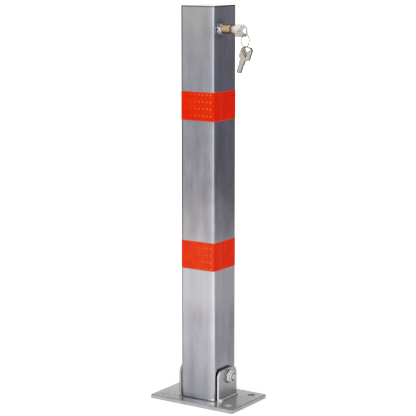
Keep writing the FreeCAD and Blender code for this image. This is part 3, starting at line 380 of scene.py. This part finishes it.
def plate_zinc():
    """Zinc plate on the base, with dull pale walls in its drilled holes, and painted shade on the back holes'
    walls, on its right side, under its rim and where pieces meet.
    """
    finish = zinc_surface("plate_zinc", (0.76, 0.75, 0.78), 0.22, 0.03, 0.07, 0.05)
    along, across, up = finish.axes()
    low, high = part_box("base_plate")
    from_end = finish.math("SUBTRACT", high.x, finish.math("ABSOLUTE", along))
    from_side = finish.math("SUBTRACT", high.y, finish.math("ABSOLUTE", across))
    inside = finish.math("GREATER_THAN", finish.math("MINIMUM", from_end, from_side), PLATE_RIM)
    wall = finish.math("MULTIPLY", inside, finish.math("SUBTRACT", 1.0, finish.level()))
    # Painted shade: the walls of the back holes are darker than those of the front holes
    wall_colour = finish.mix(finish.math("GREATER_THAN", across, 0.0), (0.74, 0.74, 0.76, 1),
                             (0.45, 0.45, 0.47, 1))
    coloured = finish.mix(wall, finish.coloured, wall_colour)
    by_corner = finish.math("MULTIPLY", finish.spread(along, 0.0, 1.0, -0.02, 0.012),
                            finish.spread(along, 1.0, 0.0, 0.031, 0.034))
    rubbed = finish.math("MULTIPLY", by_corner, finish.spread(across, 1.0, 0.0, -0.031, -0.028))
    coloured = finish.mix(finish.math("MULTIPLY", rubbed, finish.level()), coloured, (0.98, 0.97, 0.98, 1))
    # Painted shade: faces that look towards +X are darker
    right_edge = finish.spread(finish.axes(finish.normal)[0], 0.0, 1.0, 0.6, 0.9)
    coloured = finish.mix(right_edge, coloured, (0.88, 0.88, 0.88, 1), "MULTIPLY")
    # Painted shade: a dark line on the outer walls just under the rim, strongest on the right side
    outer_wall = finish.math("SUBTRACT", finish.math("SUBTRACT", 1.0, finish.level()), wall)
    under_rim = finish.spread(up, 0.0, 1.0, high.z - 0.0018, high.z - 0.0008)
    rim_line = finish.math("MULTIPLY", finish.math("MULTIPLY", outer_wall, under_rim),
                           finish.spread(right_edge, 0.30, 0.65, 0.0, 1.0))
    coloured = finish.mix(rim_line, coloured, (0.10, 0.10, 0.11, 1))
    # Painted shade: joins between pieces darken
    open_metal = finish.math("SUBTRACT", 1.0, wall)
    dirt_and_shade = finish.math("MULTIPLY", finish.crevice(0.003), finish.math("MULTIPLY", open_metal, 0.3))
    finish.give("Base Color", finish.mix(dirt_and_shade, coloured, (0.05, 0.05, 0.055, 1)))
    finish.give("Metallic", finish.spread(wall, 0.82, 0.2, 0.0, 1.0))
    return finish.material


def weld_metal():
    """Rippled bead: pale crests, painted shade in its valleys, a coarse grain and a painted highlight at its
    front end.
    """
    finish = Finish("weld_metal", (0.80, 0.80, 0.81), 0.7, 0.3)
    grain = finish.noise(900, detail=3)
    blobs = finish.noise(230, (1, 1, 1), 2)
    along = finish.axes()[1]
    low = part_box("right_weld")[0]
    # Painted highlight: the front end of the bead is white
    start = finish.spread(along, 1.0, 0.0, low.y + 0.003, low.y + 0.006)
    bright = finish.mix(finish.spread(grain, 0, 1), (0.58, 0.58, 0.59, 1), (0.80, 0.80, 0.80, 1))
    patchy = finish.mix(finish.spread(blobs, 0.55, 0.0, 0.42, 0.58), bright, (0.12, 0.12, 0.13, 1))
    # Painted shade: the valleys between the ripples darken
    dirt_and_shade = finish.math("MULTIPLY", finish.crevice(0.002, 0.35, 0.9), 0.8)
    dirty = finish.mix(dirt_and_shade, patchy, (0.04, 0.04, 0.045, 1))
    finish.give("Base Color", finish.mix(start, dirty, (0.97, 0.97, 0.97, 1)))
    finish.give("Metallic", finish.spread(start, 0.7, 0.1, 0.0, 1.0))
    finish.bump(grain, 0.0001, 0.6)
    return finish.material


def turned_steel(name, colour, roughness, lines_along):
    """Machined steel whose fine tool lines run across the given axis."""
    finish = Finish(name, colour, 1.0, roughness)
    stretch = [0.03, 0.03, 0.03]
    stretch["XYZ".index(lines_along)] = 1
    lines = finish.noise(2600, stretch, 2)
    dirt_and_shade = finish.noise(120, detail=4)
    dark = tuple(part * 0.7 for part in colour) + (1,)
    finish.give("Base Color", finish.mix(finish.spread(dirt_and_shade, 0, 1), dark, (*colour, 1)))
    finish.give("Roughness", finish.spread(lines, roughness, roughness + 0.1))
    finish.bump(lines, 0.00002, 0.5)
    return finish.material


def nylon():
    # The nylon insert is painted near black, as shade in the nut's end
    finish = Finish("nylon", (0.03, 0.03, 0.032), 0.0, 0.45)
    speckle = finish.noise(700, detail=3)
    finish.give("Base Color", finish.mix(finish.spread(speckle, 0, 1), (0.012, 0.012, 0.014, 1),
                                         (0.035, 0.035, 0.038, 1)))
    finish.bump(speckle, 0.00003, 0.4)
    return finish.material


def tape_dots(finish, rise, far_strength, fade_start):
    """Round dots on a grid that runs round the tube, plainest on the front face by the corner."""
    along, across, up = finish.axes()
    facing_x = finish.axes(finish.normal)[0]
    on_side = finish.math("GREATER_THAN", finish.math("ABSOLUTE", facing_x), 0.7)
    on_front = finish.math("SUBTRACT", 1.0, on_side)
    front_part = finish.math("MULTIPLY", along, on_front)
    round_place = finish.math("ADD", front_part, finish.math("MULTIPLY", across, on_side))
    squares = []
    for place, pitch in ((round_place, DOT_COLUMN), (finish.math("SUBTRACT", up, rise), DOT_ROW)):
        cell = finish.math("FRACT", finish.math("ADD", finish.math("DIVIDE", place, pitch), 100.0))
        offset = finish.math("MULTIPLY", finish.math("SUBTRACT", cell, 0.5), pitch)
        squares.append(finish.math("MULTIPLY", offset, offset))
    distance = finish.math("SQRT", finish.math("ADD", squares[0], squares[1]))
    dots = finish.spread(distance, 1.0, 0.0, DOT_RADIUS * 0.7, DOT_RADIUS * 1.5)
    worn = finish.spread(along, far_strength, 1.0, fade_start, DOT_FADE_END)
    strength = finish.math("ADD", finish.math("MULTIPLY", worn, on_front),
                           finish.math("MULTIPLY", on_side, 0.06))
    return finish.math("MULTIPLY", dots, strength)


def reflective_tape(name, node, colour, rise, beads, fade, overlap_strength, corner_strength):
    """Glossy red film with a grid of pale beads, a mottled front and a fine overlap line, with painted shade
    on its right faces and a painted highlight by the front corner.
    """
    finish = Finish(name, colour, 0.0, 0.3)
    finish.give("Specular IOR Level", 0.03)
    dots = tape_dots(finish, rise, *fade)
    along, across, up = finish.axes()
    low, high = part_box(node)
    middle = (low.z + high.z) / 2
    from_middle = finish.math("ABSOLUTE", finish.math("SUBTRACT", up, middle))
    half = (high.z - low.z) / 2
    edge_line = finish.spread(from_middle, 0.0, 1.0, half - TAPE_LINE * 1.4, half - TAPE_LINE * 0.6)
    clouds = finish.noise(60, detail=3)
    speckle = finish.noise(520, detail=2)
    deep = (colour[0] * 0.88, colour[1] * 0.6, colour[2] * 0.6, 1)
    pale = (0.98, 0.46, 0.16, 1)
    body = finish.mix(finish.spread(clouds, 0, 1), deep, (*colour, 1))
    mottle = finish.math("MULTIPLY", finish.spread(speckle, 0, 0.16), finish.spread(along, 0, 1, -0.02, 0.01))
    body = finish.mix(mottle, body, (0.99, 0.16, 0.05, 1))
    # Painted shade: the tape on the right faces is darker and redder
    on_right = finish.math("GREATER_THAN", finish.axes(finish.normal)[0], 0.7)
    body = finish.mix(on_right, body, (1.0, 0.5, 0.3, 1), "MULTIPLY")
    # Painted highlight: a pale strip on the front by the corner
    by_corner = finish.math("MULTIPLY", finish.spread(along, 0.0, corner_strength, 0.022, 0.026),
                            finish.math("SUBTRACT", 1.0, on_right))
    body = finish.mix(by_corner, body, pale)
    dotted = finish.mix(finish.math("MULTIPLY", dots, beads), body, pale)
    from_overlap = finish.math("ABSOLUTE", finish.math("SUBTRACT", across, TAPE_OVERLAP))
    overlap = finish.math("MULTIPLY", finish.spread(from_overlap, overlap_strength, 0.0, 0.0004, 0.0012),
                          on_right)
    seamed = finish.mix(overlap, dotted, pale)
    finish.give("Base Color", finish.mix(finish.math("MULTIPLY", edge_line, 0.08), seamed, pale))
    finish.give("Roughness", finish.spread(clouds, 0.3, 0.42))
    finish.bump(dots, 0.0001, 0.5)
    finish.bump(finish.noise(300, detail=2), 0.00002, 0.3)
    return finish.material


def polished(name, colour, roughness, tarnish, metallic=1.0):
    """Polished plate with a few darker, duller patches."""
    finish = Finish(name, colour, metallic, roughness)
    patches = finish.noise(160, detail=4)
    scratches = finish.noise(1800, (0.05, 1, 1), 2)
    finish.give("Base Color", finish.mix(finish.spread(patches, 0, 1, 0.35, 0.8), (*colour, 1),
                                         (*tarnish, 1)))
    finish.give("Roughness", finish.spread(patches, roughness, roughness + 0.1))
    finish.bump(scratches, 0.00001, 0.5)
    return finish.material


def lock_chrome():
    """Bright chrome with black smudges, and painted black shade in its steps."""
    finish = Finish("lock_chrome", (0.9, 0.9, 0.92), 1.0, 0.05)
    smudges = finish.noise(330, (0.6, 1, 1), 2)
    smudged = finish.mix(finish.spread(smudges, 0.0, 0.92, 0.54, 0.62), (0.96, 0.96, 0.98, 1),
                         (0.04, 0.04, 0.05, 1))
    # Painted shade: the steps and joins turn black
    dirt_and_shade = finish.math("MULTIPLY", finish.crevice(0.003, 0.5, 0.9), 0.9)
    finish.give("Base Color", finish.mix(dirt_and_shade, smudged, (0.02, 0.02, 0.025, 1)))
    finish.give("Roughness", finish.spread(smudges, 0.04, 0.12))
    finish.bump(finish.noise(700, detail=2), 0.00002, 0.5)
    return finish.material


def lock_brass():
    """Handled brass with tarnish patches and reddish brown tarnish by its front, painted shade underneath, on
    its front faces and, reddish, where pieces meet, and a painted dark reflection on its upper faces.
    """
    finish = Finish("lock_brass", (0.70, 0.50, 0.22), 1.0, 0.2)
    patches = finish.noise(160, detail=4)
    patched = finish.mix(finish.spread(patches, 0, 1, 0.45, 0.65), (0.86, 0.64, 0.32, 1),
                         (0.40, 0.22, 0.07, 1))
    # Painted shade on faces that look down, and a painted dark reflection on faces that look up
    facing_up = finish.axes(finish.normal)[2]
    under = finish.spread(facing_up, 0.94, 0.0, -0.75, -0.05)
    over = finish.spread(facing_up, 0.0, 0.9, 0.82, 0.97)
    tarnish_and_shade = finish.mix(finish.math("MAXIMUM", under, over), patched, (0.05, 0.025, 0.01, 1))
    # Painted shade: faces that look towards +X are dark
    end = finish.spread(finish.axes(finish.normal)[0], 0.0, 0.95, 0.35, 0.8)
    tarnish_and_shade = finish.mix(end, tarnish_and_shade, (0.07, 0.018, 0.006, 1))
    along = finish.axes()[0]
    by_end = finish.spread(along, 0.0, 0.75, PLUNGER_FRONT - 0.0022, PLUNGER_FRONT - 0.0008)
    tarnish_and_shade = finish.mix(finish.math("MULTIPLY", by_end, finish.spread(patches, 0.5, 1.0, 0.4, 0.6)), tarnish_and_shade,
                        (0.22, 0.07, 0.03, 1))
    # Painted shade: joins between pieces turn reddish black
    dirt_and_shade = finish.math("MULTIPLY", finish.crevice(0.004, 0.5, 0.9), 0.9)
    finish.give("Base Color", finish.mix(dirt_and_shade, tarnish_and_shade, (0.09, 0.015, 0.004, 1)))
    finish.give("Roughness", finish.spread(patches, 0.16, 0.26))
    finish.bump(finish.noise(1800, (0.05, 1, 1), 2), 0.00001, 0.5)
    return finish.material


def nickel(name, colour, plane, metallic):
    """Satin nickel, its worn face, and the mask of all that lies between the sheet's two faces."""
    finish = Finish(name, colour, metallic, 0.4)
    patches = finish.noise(260, detail=4)
    worn = tuple(part * 0.84 for part in colour) + (1,)
    face = finish.mix(finish.spread(patches, 0, 1), worn, (*colour, 1))
    depth = finish.math("ABSOLUTE", finish.beyond_plane(*plane))
    inside = finish.spread(depth, 1.0, 0.0, KEY_HALF - 0.0003, KEY_HALF - 0.0001)
    finish.give("Roughness", finish.spread(patches, 0.4, 0.48))
    finish.bump(finish.noise(1500, (0.1, 1, 1), 2), 0.00001, 0.5)
    return finish, face, inside


def key_nickel():
    """The key in the lock: bright above, darker and browner towards its bottom, with pale brown painted shade
    in its grooves and on its edges.
    """
    edge_shade = (0.34, 0.27, 0.22)
    finish, face, inside = nickel("key_nickel", (1.0, 0.965, 0.91), KEY_PLANE, 0.2)
    middle = KEY_PLANE[0][2]
    # Darker and browner towards the bottom
    below_middle = finish.spread(finish.axes()[2], 1.0, 0.0, middle - 0.006, middle + 0.001)
    face = finish.mix(below_middle, face, (0.66, 0.60, 0.54, 1), "MULTIPLY")
    # Painted shade: grooves and edges take a pale brown
    finish.give("Base Color", finish.mix(inside, face, (*edge_shade, 1)))
    return finish.material


def spare_nickel():
    """The hanging key: browner and darker than the key as painted shade, with a dark rim down its right side
    and dark grooves, both painted shade.
    """
    edge_shade = (0.04, 0.03, 0.04)
    # The key's nickel made darker and browner as painted shade
    finish, face, inside = nickel("spare_nickel", (0.67, 0.60, 0.53), SPARE_PLANE, 0.9)
    # Painted shade: a dark rim down the right side, and dark grooves and edges
    right = finish.spread(finish.beyond_plane(SPARE_PLANE[0], SPARE_RIGHT), 0.0, 1.0, 0.0055, 0.0075)
    face = finish.mix(finish.math("MULTIPLY", right, finish.rim(0.0016)), face, (*edge_shade, 1))
    finish.give("Base Color", finish.mix(inside, face, (*edge_shade, 1)))
    return finish.material


def dress_nodes():
    """Gives every CAD node its finish."""
    tube = galvanised_tube()
    hidden = turned_steel("plain_steel", (0.42, 0.42, 0.43), 0.34, "Z")
    spring = turned_steel("spring_steel", (0.26, 0.26, 0.28), 0.3, "X")
    hardware = bolt_zinc("nut_zinc", (0.95, 0.95, 0.96), 0.15, 0.8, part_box("hinge_nut")[0].x)
    clamping = bolt_zinc("clamp_zinc", (0.95, 0.95, 0.96), 0.15, 0.8)
    # The washers' end faces are painted black as shade
    washers = bolt_zinc("washer_zinc", (0.05, 0.05, 0.055), 0.8)
    # The bolt's right end is painted bluish as a reflection
    bolt = bolt_zinc("bolt_zinc", (0.50, 0.60, 0.74), 0.2, 0.3, None, (0.62, 0.62, 0.64))
    brass = lock_brass()
    finishes = {
        "base_plate": plate_zinc(),
        "left_lug": lug_zinc("left_lug", 0.80, 0.9), "right_lug": lug_zinc("right_lug", 0.98, 0.0),
        "hinge_nut": hardware, "outer_washers": washers, "inner_washers": washers,
        "lock_nut": clamping, "nut_insert": nylon(),
        "post_tube": tube, "top_cap": tube,
        "hinge_sleeve": hidden, "lower_guide": hidden, "upper_guide": hidden, "spring_seat": hidden,
        "lock_rod": hidden, "rod_head": hidden, "plunger_wedge": hidden,
        "return_spring": spring, "head_pin": spring, "wedge_pin": spring, "plug_clip": spring,
        "upper_band": reflective_tape("upper_tape", "upper_band", (0.92, 0.026, 0.0),
                                      -0.0014, 0.62, (0.10, -0.016), 0.06, 0.0),
        "lower_band": reflective_tape("lower_tape", "lower_band", (0.97, 0.054, 0.010),
                                      -0.0022, 0.48, (0.20, 0.0), 0.15, 0.05),
        "lock_housing": lock_chrome(), "plunger": brass, "key_plug": brass,
        "key": key_nickel(), "spare_key": spare_nickel(),
        "key_ring": polished("ring_wire", (0.14, 0.10, 0.10), 0.3, (0.08, 0.06, 0.06), 0.6),
    }
    for node, material in finishes.items():
        for place in frame["nodes"][node].material_slots:
            place.material = material
    return {"bolt": bolt, "spring": spring}


# Fine pieces

def new_piece(name, mesh, body, material):
    piece = bpy.data.objects.new(name, mesh)
    bpy.context.scene.collection.objects.link(piece)
    piece.data.materials.append(material)
    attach(piece, body)
    return piece


def grid_mesh(name, rings, closed_round):
    """A mesh over rings of points, all of one length, with its two ends filled."""
    shape = bmesh.new()
    rows = [[shape.verts.new(point) for point in ring] for ring in rings]
    count = len(rows[0])
    steps = count if closed_round else count - 1
    for first, second in zip(rows, rows[1:]):
        for index in range(steps):
            following = (index + 1) % count
            shape.faces.new((first[index], first[following], second[following], second[index]))
    if closed_round:
        shape.faces.new(rows[0])
        shape.faces.new(rows[-1])
    bmesh.ops.recalc_face_normals(shape, faces=shape.faces)
    mesh = bpy.data.meshes.new(name)
    shape.to_mesh(mesh)
    shape.free()
    mesh.shade_smooth()
    mesh.set_sharp_from_angle(angle=math.radians(28))
    return mesh


def hexagon_reach(angle, flats):
    """Distance from a hexagon's centre to its outline, with corners up and down."""
    from_flat = (angle % (math.pi / 3)) - math.pi / 6
    return flats / 2 / math.cos(from_flat)


def thread_radius(place, angle, end):
    """Radius of a thread whose last turns run out into a plain chamfered point."""
    if place > end - POINT_LENGTH:
        return min(POINT_RADIUS, POINT_RADIUS - BOLT_EDGE + (end - place))
    turn = ((place / THREAD_PITCH) - angle / (2 * math.pi)) % 1.0
    return BOLT_RADIUS - THREAD_DEPTH * abs(2 * turn - 1)


def bolt_rings(low, high):
    """Rings along the bolt: turned hexagon head, plain shank and threaded end."""
    segments = 72
    head_end = low.x + BOLT_HEAD
    thread_start = high.x - THREAD_LENGTH
    crown_steps = [low.x + 0.0001 * step for step in range(12)]
    thread_steps = int(THREAD_LENGTH / THREAD_PITCH * 14)
    thread_places = [thread_start + THREAD_LENGTH * step / thread_steps for step in range(thread_steps + 1)]

    def head_radius(place, angle):
        return min(hexagon_reach(angle, BOLT_FLATS), CROWN_RADIUS + CROWN_SLOPE * (place - low.x))

    stations = [(place, head_radius) for place in crown_steps + [head_end]]
    stations += [(place, lambda place, angle: BOLT_RADIUS) for place in (head_end, thread_start)]
    stations += [(place, lambda place, angle: thread_radius(place, angle, high.x)) for place in thread_places]
    middle = (low + high) / 2
    rings = []
    for place, radius_at in stations:
        ring = []
        for step in range(segments):
            angle = 2 * math.pi * step / segments
            radius = radius_at(place, angle)
            ring.append((place, middle.y + radius * math.sin(angle), middle.z + radius * math.cos(angle)))
        rings.append(ring)
    return rings


def threaded_bolt(material):
    low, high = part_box("hinge_bolt")
    mesh = grid_mesh("threaded_bolt", bolt_rings(low, high), True)
    piece = new_piece("threaded_bolt", mesh, "base", material)
    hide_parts("hinge_bolt")


def weld_bead(side, material):
    """A rippled fillet bead in the space that the CAD bead holds."""
    node = side + "_weld"
    low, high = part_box(node)
    leg = high.z - low.z
    outward = 1 if side == "right" else -1
    root = low.x if side == "right" else high.x
    stations = 150
    arc_steps = 10
    rings = []
    for station in range(stations + 1):
        along = (high.y - low.y) * station / stations
        from_end = min(along, high.y - low.y - along, leg)
        dome = math.sqrt(max(1 - (1 - from_end / leg) ** 2, 0.0004))
        ripple = 1 - RIPPLE_DEPTH * (1 - abs(math.sin(math.pi * along / RIPPLE_PITCH)))
        wander = 1 - 0.06 * noise.noise((along * 160, outward, 0.0)) - 0.06
        reach = leg * dome * ripple * min(wander, 1.0)
        ring = [(root, low.y + along, low.z)]
        for step in range(arc_steps + 1):
            angle = math.pi / 2 * step / arc_steps
            bulge = reach * (0.9 + 0.1 * math.sin(2 * angle))
            ring.append((root + outward * bulge * math.cos(angle), low.y + along,
                         low.z + bulge * math.sin(angle)))
        rings.append(ring)
    piece = new_piece(side + "_weld_bead", grid_mesh(node + "_bead", rings, True), "base",
                      material)
    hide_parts(node)


def coil_spring(material):
    """The return spring as a smooth coil on the post, with a mesh of its own."""
    low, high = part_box("return_spring")
    wire_radius = SPRING_WIRE / 2
    coil_radius = (high.x - low.x) / 2 - wire_radius
    middle = (low + high) / 2
    rise = high.z - low.z - SPRING_WIRE
    stations = int(SPRING_TURNS * 40)
    around = 14
    rings = []
    for station in range(stations + 1):
        share = station / stations
        turn = 2 * math.pi * SPRING_TURNS * share
        outward = Vector((math.cos(turn), math.sin(turn), 0))
        centre = Vector((middle.x, middle.y, low.z + wire_radius + rise * share)) + outward * coil_radius
        ring = []
        for step in range(around):
            angle = 2 * math.pi * step / around
            ring.append(centre + (outward * math.cos(angle) + Vector((0, 0, math.sin(angle)))) * wire_radius)
        rings.append(ring)
    piece = new_piece("coil_spring", grid_mesh("coil_spring", rings, True), "post", material)
    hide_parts("return_spring")
    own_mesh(piece)


# Surroundings

def floor():
    """A pale floor that the camera sees as white, apart from the post's shadow."""
    bpy.ops.mesh.primitive_plane_add(size=FLOOR_SIZE, location=(0, 0, 0))
    plane = bpy.context.object
    plane.name = "floor"
    material = bpy.data.materials.new("pale_floor")
    material.use_nodes = True
    tree = material.node_tree
    tree.nodes.clear()
    diffuse = tree.nodes.new("ShaderNodeBsdfDiffuse")
    diffuse.inputs["Color"].default_value = FLOOR_COLOUR
    glow = tree.nodes.new("ShaderNodeEmission")
    total = tree.nodes.new("ShaderNodeAddShader")
    output = tree.nodes.new("ShaderNodeOutputMaterial")
    rays = tree.nodes.new("ShaderNodeLightPath")
    place = tree.nodes.new("ShaderNodeTexCoord")
    distance = tree.nodes.new("ShaderNodeVectorMath")
    distance.operation = "LENGTH"
    fade = tree.nodes.new("ShaderNodeMapRange")
    fade.inputs["From Min"].default_value, fade.inputs["From Max"].default_value = FLOOR_GLOW_REACH
    fade.inputs["To Min"].default_value, fade.inputs["To Max"].default_value = FLOOR_GLOW
    seen = tree.nodes.new("ShaderNodeMath")
    seen.operation = "MULTIPLY"
    tree.links.new(place.outputs["Object"], distance.inputs[0])
    tree.links.new(distance.outputs["Value"], fade.inputs["Value"])
    tree.links.new(rays.outputs["Is Camera Ray"], seen.inputs[0])
    tree.links.new(fade.outputs[0], seen.inputs[1])
    tree.links.new(seen.outputs[0], glow.inputs["Strength"])
    tree.links.new(diffuse.outputs[0], total.inputs[0])
    tree.links.new(glow.outputs[0], total.inputs[1])
    tree.links.new(total.outputs[0], output.inputs["Surface"])
    plane.data.materials.append(material)


def world():
    """White where the camera or a reflection looks at it, and a soft fill for the rest."""
    surroundings = bpy.data.worlds.new("studio")
    bpy.context.scene.world = surroundings
    surroundings.use_nodes = True
    tree = surroundings.node_tree
    background = tree.nodes["Background"]
    background.inputs["Color"].default_value = (1, 1, 1, 1)
    rays = tree.nodes.new("ShaderNodeLightPath")
    shown = tree.nodes.new("ShaderNodeMath")
    shown.operation = "ADD"
    shown.use_clamp = True
    also = tree.nodes.new("ShaderNodeMath")
    also.operation = "ADD"
    also.use_clamp = True
    strength = tree.nodes.new("ShaderNodeMapRange")
    strength.inputs["To Min"].default_value = WORLD_FILL
    strength.inputs["To Max"].default_value = WORLD_SHOWN
    tree.links.new(rays.outputs["Is Camera Ray"], shown.inputs[0])
    tree.links.new(rays.outputs["Is Glossy Ray"], shown.inputs[1])
    tree.links.new(shown.outputs[0], also.inputs[0])
    tree.links.new(rays.outputs["Is Transmission Ray"], also.inputs[1])
    tree.links.new(also.outputs[0], strength.inputs["Value"])
    tree.links.new(strength.outputs[0], background.inputs["Strength"])


def aim(obj, target):
    direction = Vector(target) - obj.location
    obj.rotation_euler = direction.to_track_quat("-Z", "Y").to_euler()


def soft_box(name, place, target, width, height, radiance):
    """An area lamp whose face has the given brightness, with white at 1."""
    lamp = bpy.data.lights.new(name, "AREA")
    lamp.shape = "RECTANGLE"
    lamp.size = width
    lamp.size_y = height
    lamp.energy = radiance * math.pi * width * height
    obj = bpy.data.objects.new(name, lamp)
    bpy.context.scene.collection.objects.link(obj)
    obj.location = place
    obj.visible_glossy = False
    aim(obj, target)


def reflected_card(name, columns, rows):
    """A glowing sheet that only reflections see; a column is a heading and its shade, a row is a
    distance from the post, a height and a factor on the shade."""
    verts = []
    shades = []
    for heading, shade in columns:
        turn = math.radians(heading)
        for distance, height, factor in rows:
            verts.append((distance * math.sin(turn), distance * math.cos(turn), height))
            shades.append(shade * factor)
    count = len(rows)
    faces = []
    for column in range(len(columns) - 1):
        for row in range(count - 1):
            corner = column * count + row
            faces.append((corner, corner + 1, corner + count + 1, corner + count))
    mesh = bpy.data.meshes.new(name)
    mesh.from_pydata(verts, [], faces)
    mesh.attributes.new("shade", "FLOAT", "POINT").data.foreach_set("value", shades)
    material = bpy.data.materials.new(name)
    material.use_nodes = True
    material.cycles.emission_sampling = "NONE"
    tree = material.node_tree
    tree.nodes.clear()
    shade = tree.nodes.new("ShaderNodeAttribute")
    shade.attribute_name = "shade"
    glow = tree.nodes.new("ShaderNodeEmission")
    output = tree.nodes.new("ShaderNodeOutputMaterial")
    tree.links.new(shade.outputs["Fac"], glow.inputs["Strength"])
    tree.links.new(glow.outputs[0], output.inputs["Surface"])
    mesh.materials.append(material)
    sheet = bpy.data.objects.new(name, mesh)
    bpy.context.scene.collection.objects.link(sheet)
    for kind in ("camera", "diffuse", "transmission", "shadow"):
        setattr(sheet, "visible_" + kind, False)


def fanned(columns, step=4):
    """The same columns with more of them in between, so that a card bends round the post."""
    result = []
    for (first, shade), (second, following) in zip(columns, columns[1:]):
        parts = max(1, round((second - first) / step))
        for index in range(parts):
            share = index / parts
            result.append((first + (second - first) * share, shade + (following - shade) * share))
    return result + [columns[-1]]


def cards():
    wall = [(CARD_RING, height, factor) for height, factor in zip(CARD_HEIGHTS, CARD_RISE)]
    upright = RIGHT_CARD + FRONT_CARD + LEFT_CARD + BACK_CARD
    reflected_card("ring_of_cards", fanned(upright), wall)
    reflected_card("edge_card", fanned(EDGE_CARD),
                   [(EDGE_CARD_RING, height, 1.0) for height in EDGE_CARD_HEIGHTS])
    for columns in FLOOR_CARDS:
        reflected_card("floor_card", fanned(columns), ((FLOOR_INNER, 0.001, 0.9), (0.8, 0.001, 0.95),
                                                       (CARD_RING, 0.001, 1.12)))
    for columns in DARK_FLOOR:
        reflected_card("far_floor_card", fanned(columns), ((CARD_RING, 0.001, 1), (DARK_FLOOR_END, 0.001, 1)))


def lights():
    centre = (0, 0, 0.3)
    soft_box("key_box", (-1.3, -2.0, 1.5), centre, 1.6, 2.2, 1.2)
    soft_box("front_box", (1.9, -1.5, 1.3), centre, 1.2, 2.0, 1.75)
    soft_box("top_box", (0, -0.2, 2.6), centre, 1.8, 1.8, 0.9)


def camera():
    data = bpy.data.cameras.new("camera")
    data.lens = CAMERA_LENS
    data.sensor_width = CAMERA_SENSOR
    obj = bpy.data.objects.new("camera", data)
    bpy.context.scene.collection.objects.link(obj)
    obj.location = CAMERA_PLACE
    obj.rotation_euler = (math.radians(90 - CAMERA_PITCH_DOWN), 0, math.radians(CAMERA_YAW))
    bpy.context.scene.camera = obj
    bpy.context.scene.view_settings.view_transform = "Standard"


camera()
world()
floor()
lights()
cards()
shared = dress_nodes()
threaded_bolt(shared["bolt"])
bead = weld_metal()
weld_bead("left", bead)
weld_bead("right", bead)
coil_spring(shared["spring"])
